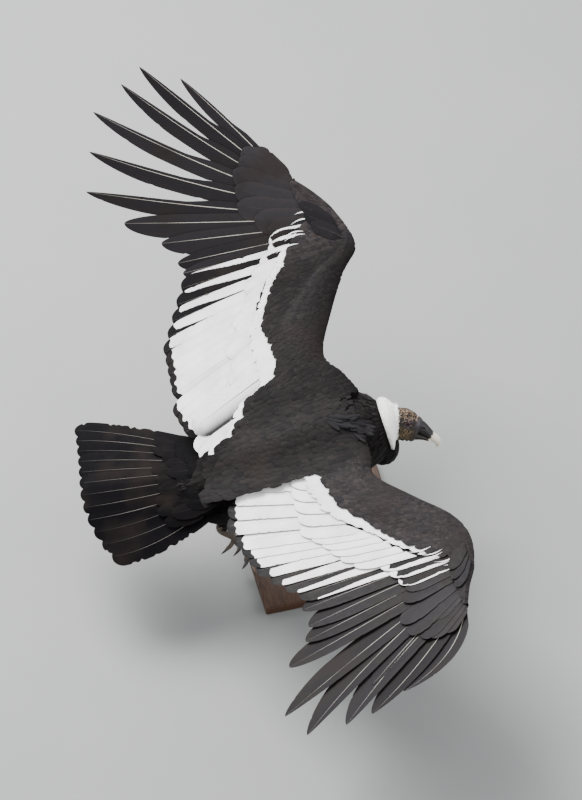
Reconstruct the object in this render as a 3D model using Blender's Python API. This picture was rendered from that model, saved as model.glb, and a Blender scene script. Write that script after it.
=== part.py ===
"""Andean condor, female, gliding on raised wings, on a plain display stand.

The bird is modelled in its own frame: X forward, Y left, Z up, in metres, with zero between the
shoulder joints. The empty named flight then pitches, banks and lifts it over the stand, whose base
stands on the floor with the middle of its underside at the origin.
"""

import math
import random

import bmesh
import bpy
from mathutils import Matrix, Vector

GAP = 0.0003  # between pieces that meet face to face
UP = Vector((0.0, 0.0, 1.0))

# How the bird is held: nose up, right wing down, its zero this far above the floor
PITCH_DEG = 10.0
BANK_DEG = 15.0
FLIGHT_HEIGHT = 0.52
HELD_AT = Vector((-0.05, 0.0, -0.16))  # belly point, in the bird's frame, over the rod

# Wing bones
SHOULDER_OUT, SHOULDER_UP = 0.085, 0.06
HUMERUS, FOREARM, HAND = 0.275, 0.320, 0.225

# Sweeps are degrees forward of straight out. The patagium's bulges are metres ahead of the line from
# shoulder to wrist at each of PATAGIUM_AT, and the hand's edge is how far it stands ahead of the hand's
# bones at 0.35, 0.7 and 1 along them. Feathers' angles are degrees behind straight out. Secondaries have
# their angles by the wrist and by the elbow, and their lengths there and half way. Of each primary, inner
# to outer, grown is the share of its usual length that it has, and bow how far it bulges forward as a
# share of its length.
PATAGIUM_AT = (0.3, 0.55, 0.8)
WINGS = {
    "left": {
        "side": 1, "humerus": -3.0, "forearm": 54.5, "hand": -31.0, "patagium": (-0.005, -0.008, 0.005),
        "hand_edge": (0.034, 0.034, 0.022),
        "secondary_angles": (86.5, 105.0), "secondary_lengths": (0.515, 0.505, 0.40),
        "tertial_angles": (107.0, 113.0), "tertial_lengths": (0.42, 0.405),
        "fan": (84.9, 83.4, 78.4, 73.9, 68.1, 60.2, 52.2, 43.5, 37.0, 30.7),
        "grown": (0.99, 0.985, 0.98, 0.99, 0.98, 0.965, 1.0, 0.995, 1.035, 1.05),
        "bow": (0.0, 0.0, 0.0, 0.0, -0.01, -0.015, -0.015, -0.015, 0.0, 0.02),
    },
    "right": {
        "side": -1, "humerus": 8.1, "forearm": 56.2, "hand": -17.0, "patagium": (0.015, 0.03, 0.05),
        "hand_edge": (0.022, 0.012, 0.010),
        "secondary_angles": (89.5, 105.0), "secondary_lengths": (0.518, 0.50, 0.415),
        "tertial_angles": (107.0, 112.0), "tertial_lengths": (0.42, 0.36),
        "fan": (87.0, 82.0, 78.8, 74.6, 62.5, 54.3, 52.0, 49.4, 45.8, 41.7),
        "grown": (1.05, 1.045, 1.03, 1.01, 1.02, 1.035, 0.672, 1.0, 0.96, 0.94),
        "bow": (0.0, 0.0, 0.0, 0.0, -0.02, -0.05, -0.02, -0.04, 0.03, 0.13),
    },
}

# Flight feathers
PRIMARY_LENGTHS = (0.505, 0.503, 0.53, 0.615, 0.718, 0.71, 0.677, 0.61, 0.543, 0.41)
NOTCHED_FROM = 4  # from the fifth primary on, the vane narrows to a finger
SECONDARIES = 13
TERTIALS = 4
COVERT_SHARE, PRIMARY_COVERT_SHARE = 0.52, 0.36  # of its flight feather's length
MEDIAN_COVERTS, MEDIAN_LENGTH = 8, 0.135
SCAPULARS, SCAPULAR_LENGTH = 4, 0.27

# Vanes: half widths (leading side, trailing side), and how each overlaps the next one out
PRIMARY_HALVES = (0.024, 0.041)
SECONDARY_HALVES = (0.027, 0.034)
COVERT_HALVES = (0.022, 0.026)
SCAPULAR_HALVES = (0.030, 0.030)
TIP_THIN = 0.7  # share of the edge's thickness at a tip
TILT = 0.14  # the leading edge is raised, so that each vane lies over the next one out
CLEAR = 0.0018  # between the middles of two vanes
SHAFT_TOP, SHAFT_BOTTOM, EDGE = 0.0009, 0.0005, 0.0004

# Share of the length from the root, then of the leading and trailing half widths
FINGER_SHAPE = ((0, 0.16, 0.12), (0.09, 0.22, 0.18), (0.2, 0.9, 0.85), (0.45, 0.9, 1.0), (0.57, 0.38, 1.0),
                (0.84, 0.34, 0.80), (1.0, 0.05, 0.04))
BROAD_SHAPE = ((0, 0.16, 0.12), (0.09, 0.22, 0.18), (0.22, 0.95, 0.95), (0.6, 1.0, 1.0), (0.9, 0.86, 0.84),
               (1.0, 0.25, 0.2))
COVERT_SHAPE = ((0, 0.25, 0.25), (0.3, 0.9, 0.9), (0.78, 1.0, 1.0), (1.0, 0.3, 0.3))

# Tail, in its own plane: back along its middle, and out to either side
RECTRICES = 12
TAIL_ROOT = Vector((-0.300, -0.003, -0.0315))
TAIL_LENGTH = 0.466
TAIL_OUTER_LENGTHS = (0.476, 0.386)  # left, right
TAIL_SPREAD = 0.213  # from the middle to the tip of the outermost shaft
TAIL_YAW_DEG = 13.0  # towards the left
TAIL_ROOF, TAIL_ARCH = 0.10, 0.36  # how the sides droop
TAIL_DROP = 0.03
TAIL_FLARES = (1.35, 1.8)  # how soon the feathers part on the left and on the right
# Rings of its stump behind the torso: x, height of the middle, half width, half height
TAIL_STUMP = ((-0.392, -0.034, 0.046, 0.032), (-0.412, -0.036, 0.036, 0.018), (-0.430, -0.038, 0.020, 0.008))
RECTRIX_HALF, RECTRIX_ROOTS = 0.034, 0.045  # half width, and how far out the outermost root is
RECTRIX_LIFT, RECTRIX_STEP = 0.004, 0.0017
TAIL_COVERT_HALF, COVERT_ROOTS = 0.027, 0.040
# Over and under the fan: how many, their length and spread, and their height and every other one's step
TAIL_COVERTS = ((6, 0.235, 0.125, 0.0085, 0.0013), (5, 0.255, 0.125, -0.0105, -0.0013))
# The pad of flesh and down that holds the fan's base: back along the tail, half width, half height
RUMP_PAD = ((0.070, 0.072, 0.008), (0.100, 0.098, 0.016), (0.140, 0.122, 0.015), (0.185, 0.136, 0.008))
PAD_ACROSS = 9
RECTRIX_SHAPE = ((0, 0.15, 0.15), (0.1, 0.5, 0.5), (0.34, 0.98, 0.98), (0.92, 0.96, 0.96), (1.0, 0.42, 0.42))

# Torso and neck rings: x, height of the middle, half width, half height
TORSO = (
    (-0.370, -0.036, 0.056, 0.046), (-0.330, -0.040, 0.078, 0.070), (-0.250, -0.044, 0.102, 0.098),
    (-0.150, -0.046, 0.116, 0.112), (-0.050, -0.045, 0.123, 0.118), (0.040, -0.042, 0.124, 0.117),
    (0.100, -0.040, 0.120, 0.112), (0.130, -0.038, 0.114, 0.107),
)
NECK = ((0.130, -0.038, 0.114, 0.107), (0.152, -0.038, 0.104, 0.099), (0.172, -0.043, 0.086, 0.083))
BODY_SIDES = 20

# Head: its middle, and the turn of its own frame (x to the bill, z to the crown)
HEAD_AT = Vector((0.244, -0.020, -0.064))
HEAD_TURN = {"yaw": -32.5, "pitch": 24.8, "roll": -45.0}
HEAD_SIDES = 18
HEAD_INSET = 0.010  # from the neck's front face to the back of the head, inside the ruff
# Rings of the head: x, top, bottom, half width
HEAD = (
    (-0.064, 0.022, -0.052, 0.036), (-0.048, 0.033, -0.056, 0.037), (-0.032, 0.040, -0.058, 0.036),
    (-0.016, 0.043, -0.057, 0.0335), (0.0, 0.0415, -0.054, 0.0295), (0.014, 0.0375, -0.051, 0.0265),
    (0.026, 0.034, -0.048, 0.0235), (0.034, 0.030, -0.045, 0.019),
)
# Rings of the bill along its bend: x, z, degrees down, half height, half width
BILL = (
    (0.034, 0.0080, 0.0, 0.0215, 0.0150), (0.050, 0.0045, 5.0, 0.0185, 0.0138),
    (0.065, -0.0010, 9.0, 0.0150, 0.0125), (0.080, -0.0075, 14.0, 0.0120, 0.0115),
    (0.092, -0.0105, 24.0, 0.0108, 0.0100), (0.1015, -0.0140, 44.0, 0.0088, 0.0080),
    (0.1080, -0.0200, 66.0, 0.0064, 0.0055), (0.1105, -0.0270, 84.0, 0.0040, 0.0033),
    (0.1105, -0.0335, 92.0, 0.0009, 0.0009),
)
LOWER_BILL = (
    (0.034, -0.0300, 0.0, 0.0135, 0.0140), (0.057, -0.0252, 0.0, 0.0078, 0.0120),
    (0.079, -0.0250, 0.0, 0.0044, 0.0095), (0.088, -0.0256, 0.0, 0.0024, 0.0055),
)
EYE_AT, EYE_RADIUS = Vector((0.0, 0.0215, 0.012)), 0.008
LID_OUT, LID_RADIUS = Vector((0.0, 0.0055, 0.0)), 0.0026
EAR_AT, EAR_SIZE = Vector((-0.028, 0.0365, -0.010)), Vector((0.0055, 0.0055, 0.0085))
NOSTRIL_AT, NOSTRIL_SIZE = Vector((0.046, 0.0, 0.010)), Vector((0.0058, 0.03, 0.0026))
GAPE_AT, GAPE_SIZE = Vector((0.024, 0.026, -0.0155)), Vector((0.030, 0.014, 0.0014))

# Ruff: its middle, and the way round that the nape is, from the left over the top
RUFF_AT = Vector((0.172, -0.008, -0.045))
NAPE_DEG = 40.0
RUFF_LOCKS, RUFF_ROWS = 11, 2
RUFF_SIDES, RUFF_SEED = 14, 6
RUFF_RINGS = ((NECK[-1][0] + GAP, 0.066), (0.182, 0.071), (0.203, 0.052))  # x, radius
CROP_AT, CROP_SIZE = Vector((0.142, -0.015, -0.100)), Vector((0.052, 0.060, 0.062))


def colour(name, rgb, roughness, metallic=0.0):
    material = bpy.data.materials.new(name)
    material.use_nodes = True
    shader = material.node_tree.nodes["Principled BSDF"]
    shader.inputs["Base Color"].default_value = (*rgb, 1.0)
    shader.inputs["Roughness"].default_value = roughness
    shader.inputs["Metallic"].default_value = metallic
    return material


def smooth_step(low, high, value):
    t = max(0.0, min(1.0, (value - low) / (high - low)))
    return t * t * (3.0 - 2.0 * t)


def mix(a, b, t):
    return a + (b - a) * t


def row_across(lead, trail, count):
    """The offsets of a vane's points from its shaft, with the shaft's own where there are three."""
    return (lead, 0.0, trail) if count == 3 else (lead, trail)


def raised(points, spots, at_shaft, at_edge):
    return [point + UP * (at_shaft if spot == 0.0 else at_edge) for point, spot in zip(points, spots)]


def through(values, t):
    """The value at t, from 0 to 1, along evenly spaced values."""
    place = t * (len(values) - 1)
    low = min(int(place), len(values) - 2)
    return mix(values[low], values[low + 1], place - low)


def curve_through(points, t):
    """A smooth curve, Catmull-Rom, through the points; t runs from 0 to 1."""
    place = t * (len(points) - 1)
    low = min(int(place), len(points) - 2)
    u = place - low
    a, b, c, d = (points[min(max(low + k, 0), len(points) - 1)] for k in (-1, 0, 1, 2))
    square, cube = 2 * a - 5 * b + 4 * c - d, 3 * b - a - 3 * c + d
    return 0.5 * (2 * b + (c - a) * u + square * u * u + cube * u ** 3)


def heading(degrees):
    """Unit vector in a wing's plan (out, forward); 0 is straight out."""
    return Vector((math.cos(math.radians(degrees)), math.sin(math.radians(degrees))))


def mesh_object(name, points, faces, material=None):
    mesh = bpy.data.meshes.new(name)
    mesh.from_pydata([tuple(p) for p in points], [], faces)
    made = bmesh.new()
    made.from_mesh(mesh)
    bmesh.ops.recalc_face_normals(made, faces=made.faces)
    if made.calc_volume(signed=True) < 0:
        bmesh.ops.reverse_faces(made, faces=made.faces)
    made.to_mesh(mesh)
    made.free()
    obj = bpy.data.objects.new(name, mesh)
    bpy.context.scene.collection.objects.link(obj)
    if material:
        mesh.materials.append(material)
    return obj


def loft(name, rings, material=None):
    """A closed body through rings of as many points each, with a flat cap at each end."""
    n = len(rings[0])
    points = [p for ring in rings for p in ring]
    faces = [tuple(range(n)), tuple(range(len(points) - n, len(points)))]
    for i in range(len(rings) - 1):
        for k in range(n):
            a, b = i * n + k, i * n + (k + 1) % n
            faces += [(a, b, b + n), (a, b + n, a + n)]
    return mesh_object(name, points, faces, material)


def blade(name, tops, bottoms):
    """A thin closed body from rows of points over it and under it, both faces split alike."""
    rows, across = len(tops), len(tops[0])
    under = rows * across
    faces = []
    for i in range(rows - 1):
        for j in range(across - 1):
            a = i * across + j
            b, c, d = a + 1, a + across + 1, a + across
            faces += [(a, b, c), (a, c, d)]
            faces += [(under + a, under + c, under + b), (under + a, under + d, under + c)]
        for a in (i * across, (i + 1) * across - 1):
            faces += [(a, a + across, under + a + across), (a, under + a + across, under + a)]
    for a in [*range(across - 1), *range(under - across, under - 1)]:
        faces.append((a, a + 1, under + a + 1, under + a))
    return mesh_object(name, [p for row in tops + bottoms for p in row], faces)


def oval_ring(x, middle, half_width, half_height, sides, square=0.9):
    ring = []
    for k in range(sides):
        turn = 2.0 * math.pi * k / sides
        across, up = math.cos(turn), math.sin(turn)
        ring.append(Vector((
            x,
            half_width * math.copysign(abs(across) ** square, across),
            middle + half_height * math.copysign(abs(up) ** square, up),
        )))
    return ring


def tube_rings(path, radii, sides):
    """Rings about a path, each square to it."""
    rings = []
    for i, point in enumerate(path):
        ahead = path[min(i + 1, len(path) - 1)] - path[max(i - 1, 0)]
        turn = ahead.to_track_quat("X", "Z")
        ring = []
        for k in range(sides):
            angle = 2.0 * math.pi * k / sides
            ring.append(point + turn @ Vector((0.0, math.cos(angle), math.sin(angle))) * radii[i])
        rings.append(ring)
    return rings


def tube(name, path, radii, sides, material=None):
    return loft(name, tube_rings(path, radii, sides), material)


def ball(name, centre, radii, material=None, steps=12):
    made = bmesh.new()
    bmesh.ops.create_uvsphere(made, u_segments=steps, v_segments=steps // 2 + 1, radius=1.0)
    mesh = bpy.data.meshes.new(name)
    bmesh.ops.triangulate(made, faces=made.faces)
    made.to_mesh(mesh)
    made.free()
    mesh.transform(Matrix.Translation(centre) @ Matrix.Diagonal((*radii, 1.0)))
    obj = bpy.data.objects.new(name, mesh)
    bpy.context.scene.collection.objects.link(obj)
    if material:
        mesh.materials.append(material)
    return obj


def apply_modifiers(obj):
    graph = bpy.context.evaluated_depsgraph_get()
    graph.update()
    mesh = bpy.data.meshes.new_from_object(obj.evaluated_get(graph))
    obj.modifiers.clear()
    old = obj.data
    obj.data = mesh
    bpy.data.meshes.remove(old)


def keep_largest(obj):
    """Leaves only the closed surface that holds the most."""
    made = bmesh.new()
    made.from_mesh(obj.data)
    bmesh.ops.triangulate(made, faces=made.faces)
    left, shells = set(made.faces), []
    while left:
        shell, edge = set(), [left.pop()]
        while edge:
            face = edge.pop()
            shell.add(face)
            near = {f for e in face.edges for f in e.link_faces} & left
            left -= near
            edge += near
        held = sum(f.verts[0].co.dot(f.verts[1].co.cross(f.verts[2].co)) for f in shell) / 6.0
        shells.append((held, shell))
    best = max(shells, key=lambda item: item[0])[1]
    bmesh.ops.delete(made, geom=[f for f in made.faces if f not in best], context="FACES")
    bmesh.ops.delete(made, geom=[v for v in made.verts if not v.link_faces], context="VERTS")
    made.to_mesh(obj.data)
    made.free()


def remove(objects):
    for obj in list(objects):
        bpy.data.objects.remove(obj)


def fuse(obj, pieces, solver="EXACT"):
    """Joins the pieces to obj, as one closed body."""
    group = bpy.data.collections.new(obj.name + "_pieces")
    for piece in pieces:
        group.objects.link(piece)
    union = obj.modifiers.new("fuse", "BOOLEAN")
    union.operation, union.solver = "UNION", solver
    union.operand_type, union.collection = "COLLECTION", group
    apply_modifiers(obj)
    remove(pieces)
    bpy.data.collections.remove(group)
    keep_largest(obj)
    return obj


def cut(obj, cutter, solver="EXACT"):
    """Takes the cutter away from obj and removes the cutter."""
    take = obj.modifiers.new("cut", "BOOLEAN")
    take.operation, take.solver, take.object = "DIFFERENCE", solver, cutter
    apply_modifiers(obj)
    remove([cutter])
    keep_largest(obj)
    return obj


def grown(obj, by=GAP):
    """A copy of obj that is larger all round, to cut a neighbour clear of it."""
    mesh = obj.data.copy()
    made = bmesh.new()
    made.from_mesh(mesh)
    made.normal_update()
    moved = [v.co + v.normal * by * v.calc_shell_factor() for v in made.verts]
    for vertex, place in zip(made.verts, moved):
        vertex.co = place
    made.to_mesh(mesh)
    made.free()
    copy = bpy.data.objects.new(obj.name + "_clear", mesh)
    bpy.context.scene.collection.objects.link(copy)
    return copy


class Wing:
    """One wing. In plan, a point is (out, forward): out is the distance from the body's middle plane."""

    CURL_FROM, CURL = 0.35, 0.40  # the wing rises ever more steeply beyond this distance out
    RISE = 0.0875
    CAMBER, CREST = 0.16, 0.10
    PROFILE = ((0.0, 0.0), (0.05, 0.5), (0.2, 1.0), (0.5, 0.9), (0.8, 0.55), (1.0, 0.25))
    # At each point of the leading and trailing edges of the flesh: its thickness, and the share above
    THICK = (0.070, 0.062, 0.056, 0.050, 0.042, 0.028, 0.021, 0.016, 0.012)
    ABOVE = (0.25, 0.32, 0.42, 0.5, 0.5, 0.5, 0.5, 0.5, 0.5)
    WRIST_AT = 5 / 8

    def __init__(self, name, pose):
        self.name, self.side, self.pose = name, pose["side"], pose
        self.shoulder = Vector((SHOULDER_OUT, 0.0))
        self.elbow = self.shoulder + HUMERUS * heading(pose["humerus"])
        self.wrist = self.elbow + FOREARM * heading(pose["forearm"])
        self.hand_end = self.wrist + HAND * heading(pose["hand"])
        line = self.wrist - self.shoulder
        ahead = Vector((-line.y, line.x)).normalized()
        self.hand_ahead = heading(pose["hand"] + 90.0)
        behind = heading(pose["forearm"] - 90.0)
        middle, near_end = (mix(self.wrist, self.hand_end, f) for f in (0.35, 0.7))
        self.front = [Vector((0.06, 0.115)), Vector((0.145, 0.110))]
        self.front += [self.shoulder + line * f + ahead * b for f, b in zip(PATAGIUM_AT, pose["patagium"])]
        self.front += [self.wrist + ahead * 0.026 - line.normalized() * 0.012]
        edge = zip((middle, near_end, self.hand_end), pose["hand_edge"])
        self.front += [point + self.hand_ahead * ahead_by for point, ahead_by in edge]
        self.rear = [Vector((0.06, -0.12)), Vector((0.145, -0.105))]
        self.rear += [mix(self.shoulder, self.elbow, 0.6) - Vector((0.0, 0.088))]
        self.rear += [self.elbow - Vector((0.0, 0.062))]
        self.rear += [mix(self.elbow, self.wrist, 0.5) + behind * 0.045, self.wrist - Vector((0.0, 0.045))]
        self.rear += [middle - self.hand_ahead * 0.036, near_end - self.hand_ahead * 0.028]
        self.rear += [self.hand_end - self.hand_ahead * 0.018]

    def height(self, plan):
        out, forward = plan
        flat = 1.0 - smooth_step(0.45, 0.85, out)
        rise = self.RISE * (out - SHOULDER_OUT) + self.CURL * max(0.0, out - self.CURL_FROM) ** 2
        return SHOULDER_UP + rise - self.CAMBER * (forward - self.CREST) ** 2 * flat

    def place(self, plan, lift=0.0):
        return Vector((plan.y, self.side * plan.x, self.height(plan) + lift))

    def section(self, t, shift):
        """A ring round the arm, from the leading edge over the top to the rear and back below."""
        front, rear = curve_through(self.front, t) + shift, curve_through(self.rear, t) + shift
        thick, above = through(self.THICK, t), through(self.ABOVE, t)
        top = [self.place(mix(front, rear, f), thick * above * h) for f, h in self.PROFILE]
        below = thick * (above - 1.0)
        under = [self.place(mix(front, rear, f), below * h) for f, h in self.PROFILE[1:]]
        return top + under[::-1]

    def flesh(self, part, start, end, sections, material):
        rings = []
        for k in range(sections + 1):
            beyond_wrist = k == 0 and start > 0
            rings.append(self.section(mix(start, end, k / sections), Vector((GAP, 0.0)) * beyond_wrist))
        return loft(f"{part}_{self.name}", rings, material)

    def vane(self, feather, halves, shape, across=3):
        """A feather's blade, on the wing's surface and lifted off it by feather["lift"]."""
        along = heading(-feather["angle"])
        lead = Vector((-along.y, along.x))
        low, high = feather["lift"]
        tops, bottoms = [], []
        for t, leading, trailing in shape:
            bow = feather.get("bow", 0.0) * 4.0 * t * (1.0 - t)
            middle = feather["root"] + (along * t + lead * bow) * feather["length"]
            lift = mix(low, high, smooth_step(0.0, 0.3, t))
            edge = EDGE * (TIP_THIN if t == 1.0 else 1.0)
            spots = row_across(leading * halves[0], -trailing * halves[1], across)
            points = [self.place(middle + lead * offset, lift + TILT * offset) for offset in spots]
            tops.append(raised(points, spots, SHAFT_TOP, edge))
            bottoms.append(raised(points, spots, -SHAFT_BOTTOM, -edge))
        return blade("vane", tops, bottoms)

    def stacked(self, feathers):
        """Raises each feather off the next one out, where their roots are too close for the tilt alone."""
        lift = 0.0
        for outer, inner in zip(feathers, feathers[1:]):
            along = heading(-inner["angle"])
            apart = (outer["root"] - inner["root"]).dot(Vector((-along.y, along.x)))
            lift += max(0.0, CLEAR - TILT * apart)
            inner["lift"] = (lift, lift)
        return feathers

    def primaries(self):
        """From the outermost in."""
        feathers = []
        for i in reversed(range(len(PRIMARY_LENGTHS))):
            feathers.append({
                "root": mix(self.wrist, self.hand_end, 0.06 + 0.90 * i / 9), "angle": self.pose["fan"][i],
                "length": PRIMARY_LENGTHS[i] * self.pose["grown"][i], "bow": self.pose["bow"][i],
                "lift": (0.0, 0.0), "notched": i >= NOTCHED_FROM,
            })
        self.stacked(feathers)
        top = feathers[-1]["lift"][0] + 0.0006
        for feather in feathers:
            feather["lift"] = (feather["lift"][0] - top,) * 2
        return feathers

    def secondaries(self):
        """From the wrist to the body, tertials last."""
        feathers = []
        for i in range(SECONDARIES):
            t = (i + 0.4) / (SECONDARIES - 0.3)
            feathers.append({
                "root": mix(self.wrist, self.elbow, t), "lift": (0.0, 0.0),
                "angle": mix(*self.pose["secondary_angles"], t),
                "length": through(self.pose["secondary_lengths"], t), "bow": 0.0,
            })
        for i in range(TERTIALS):
            t = i / (TERTIALS - 1)
            feathers.append({
                "root": mix(self.elbow, self.shoulder, 0.12 + 0.46 * t), "lift": (0.0, 0.0),
                "angle": mix(*self.pose["tertial_angles"], t),
                "length": mix(*self.pose["tertial_lengths"], t), "bow": 0.0,
            })
        return self.stacked(feathers)

    def coverts(self, feathers, share, low, high):
        """One greater covert over each flight feather."""
        made = []
        for feather in feathers:
            lift = feather["lift"][0]
            made.append({
                "root": feather["root"], "angle": feather["angle"], "length": feather["length"] * share,
                "lift": (lift + low, lift + high),
            })
        return made

    def median_coverts(self, feathers):
        """Shorter coverts along the arm, over the greater ones."""
        made = []
        for i in range(MEDIAN_COVERTS):
            place = i * (len(feathers) - 1) / (MEDIAN_COVERTS - 1)
            near = feathers[int(place)]
            after = feathers[min(int(place) + 1, len(feathers) - 1)]
            part = place - int(place)
            lift = mix(near["lift"][0], after["lift"][0], part)
            thick = through(self.THICK, self.WRIST_AT * (1.0 - i / MEDIAN_COVERTS * 0.6))
            made.append({
                "root": mix(near["root"], after["root"], part), "length": MEDIAN_LENGTH,
                "angle": mix(near["angle"], after["angle"], part),
                "lift": (thick * 0.3 + lift, 0.0125 + lift),
            })
        return made

    def alula(self):
        made = []
        for i, length in enumerate((0.125, 0.150, 0.165)):
            ahead = self.hand_ahead * (0.004 + 0.005 * i)
            made.append({
                "root": mix(self.wrist, self.hand_end, 0.05 + 0.07 * i) + ahead, "length": length,
                "angle": -self.pose["hand"] + 15.0 - 6.0 * i, "lift": (0.006 - 0.002 * i, 0.0155 - 0.002 * i),
            })
        return made

    def scapulars(self):
        """Long feathers from the shoulder back over the tertials' roots and the body's side."""
        made = []
        for i in range(SCAPULARS):
            t = i / (SCAPULARS - 1)
            root = mix(self.shoulder, self.elbow, 0.50 - 0.46 * t) - Vector((0.0, 0.03))
            made.append({
                "root": root, "angle": mix(108.0, 99.0, t), "length": SCAPULAR_LENGTH * mix(1.0, 0.9, t),
                "lift": (0.008 + 0.001 * i, 0.021 + 0.002 * i),
            })
        return made


def build_wing(name, pose, torso, material):
    """The arm with its secondaries, tertials and coverts, and the hand with its primaries and alula."""
    wing = Wing(name, pose)
    arm = wing.flesh("wing_arm", 0.0, wing.WRIST_AT, 9, material)
    hand = wing.flesh("wing_hand", wing.WRIST_AT, 1.0, 5, material)
    clear_arm, clear_hand = grown(arm, GAP * 0.7), grown(hand, GAP * 0.7)

    flight = wing.secondaries()
    small = wing.coverts(flight[1:], COVERT_SHARE, 0.005, 0.0085) + wing.median_coverts(flight[1:])
    vanes = [wing.vane(f, SECONDARY_HALVES, BROAD_SHAPE) for f in flight]
    vanes += [wing.vane(f, SCAPULAR_HALVES, COVERT_SHAPE, 2) for f in wing.scapulars()]
    fuse(arm, vanes + [wing.vane(f, COVERT_HALVES, COVERT_SHAPE, 2) for f in small], "MANIFOLD")
    cut(arm, grown(torso))
    cut(arm, clear_hand)

    flight = wing.primaries()
    small = wing.coverts(flight[:-1], PRIMARY_COVERT_SHARE, 0.003, 0.008) + wing.alula()
    vanes = [wing.vane(f, PRIMARY_HALVES, FINGER_SHAPE if f["notched"] else BROAD_SHAPE) for f in flight]
    fuse(hand, vanes + [wing.vane(f, COVERT_HALVES, COVERT_SHAPE, 2) for f in small], "MANIFOLD")
    cut(hand, clear_arm)
    return [arm, hand]


def tail_point(back, out, lift):
    droop = TAIL_ROOF * abs(out) + TAIL_ARCH * out * out
    yaw = math.radians(TAIL_YAW_DEG)
    behind = -back * math.cos(yaw) - out * math.sin(yaw)
    left = back * math.sin(yaw) - out * math.cos(yaw)
    return TAIL_ROOT + Vector((behind, left, lift - droop - TAIL_DROP * back))


def tail_vane(out_root, out_tip, length, half, lift, across=3):
    tops, bottoms = [], []
    spread = out_tip - out_root
    flare = mix(*TAIL_FLARES, 0.5 + 0.5 * out_tip / TAIL_SPREAD)
    for t, leading, trailing in RECTRIX_SHAPE:
        out = out_root + spread * (1.0 - (1.0 - t) ** flare)
        turn = math.atan(spread * flare * (1.0 - t) ** (flare - 1.0) / length)
        spots = row_across(leading * half, -trailing * half, across)
        points = [tail_point(t * length - s * math.sin(turn), out + s * math.cos(turn), lift) for s in spots]
        tops.append(raised(points, spots, SHAFT_TOP, EDGE))
        bottoms.append(raised(points, spots, -SHAFT_BOTTOM, -EDGE))
    return blade("vane", tops, bottoms)


def rump_pad():
    """A lens across the feathers' bases, thin at its rim."""
    tops, bottoms = [], []
    for back, half, thick in RUMP_PAD:
        shares = [2.0 * k / (PAD_ACROSS - 1) - 1.0 for k in range(PAD_ACROSS)]
        heights = [thick * (1.0 - 0.6 * share * share) for share in shares]
        tops.append([tail_point(back, half * s, high) for s, high in zip(shares, heights)])
        bottoms.append([tail_point(back, half * s, -high) for s, high in zip(shares, heights)])
    return blade("pad", tops, bottoms)


def build_tail(torso, feather):
    """The fan starts in the rump; its middle pair lies uppermost, with coverts over and under it."""
    rings = [(TORSO[0][0] - GAP, *TORSO[0][1:]), *TAIL_STUMP]
    tail = loft("tail", [oval_ring(*ring, BODY_SIDES) for ring in rings], feather)
    vanes = [rump_pad()]
    half = RECTRICES // 2
    for i in range(RECTRICES):
        share = (i - half + 0.5) / (half - 0.5)
        depth = (half - 1 - i) if i < half else i - half + 1
        length = mix(TAIL_LENGTH, TAIL_OUTER_LENGTHS[i >= half], share * share)
        lift = RECTRIX_LIFT - depth * RECTRIX_STEP
        vanes.append(tail_vane(share * RECTRIX_ROOTS, share * TAIL_SPREAD, length, RECTRIX_HALF, lift))
    for count, length, spread, lift, step in TAIL_COVERTS:
        for i in range(count):
            share = 2.0 * i / (count - 1) - 1.0
            place = lift + step * (i % 2)
            vanes.append(tail_vane(share * COVERT_ROOTS, share * spread, length, TAIL_COVERT_HALF, place, 2))
    fuse(tail, vanes, "MANIFOLD")
    cut(tail, grown(torso))
    return [tail]


def head_frame():
    turn = Matrix.Rotation(math.radians(HEAD_TURN["yaw"]), 4, "Z")
    turn = turn @ Matrix.Rotation(math.radians(HEAD_TURN["pitch"]), 4, "Y")
    turn = turn @ Matrix.Rotation(math.radians(HEAD_TURN["roll"]), 4, "X")
    return Matrix.Translation(HEAD_AT) @ turn


def bent_ring(x, z, down, half_height, half_width, sides):
    """An oval ring about a point of the bill's bend, square to the way it runs there."""
    turn = Matrix.Rotation(math.radians(down), 3, "Y")
    return [Vector((x, 0.0, z)) + turn @ p for p in oval_ring(0.0, 0.0, half_width, half_height, sides, 0.95)]


def ring_about(name, centre, radius, tube_radius, flat, steps=12, sides=4):
    """A ring like an eyelid's rim, in the plane square to Y."""
    points, faces = [], []
    for i in range(steps):
        turn = 2.0 * math.pi * i / steps
        out = Vector((math.cos(turn), 0.0, math.sin(turn) * flat))
        for k in range(sides):
            angle = 2.0 * math.pi * k / sides
            aside = Vector((0.0, tube_radius * math.sin(angle), 0.0))
            points.append(centre + out * (radius + tube_radius * math.cos(angle)) + aside)
    for i in range(steps):
        for k in range(sides):
            a, b = i * sides + k, i * sides + (k + 1) % sides
            c, d = (i + 1) % steps * sides + (k + 1) % sides, (i + 1) % steps * sides + k
            faces += [(a, b, c), (a, c, d)]
    return mesh_object(name, points, faces)


def box(name, centre, size, material=None):
    x, y, z = size / 2
    corners = [centre + Vector((i * x, j * y, k * z)) for k in (-1, 1) for j in (-1, 1) for i in (-1, 1)]
    sides = [(0, 1, 3, 2), (4, 5, 7, 6), (0, 1, 5, 4), (2, 3, 7, 6), (0, 2, 6, 4), (1, 3, 7, 5)]
    return mesh_object(name, corners, sides, material)


def mirrored(point, side):
    return Vector((point.x, point.y * side, point.z))


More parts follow.
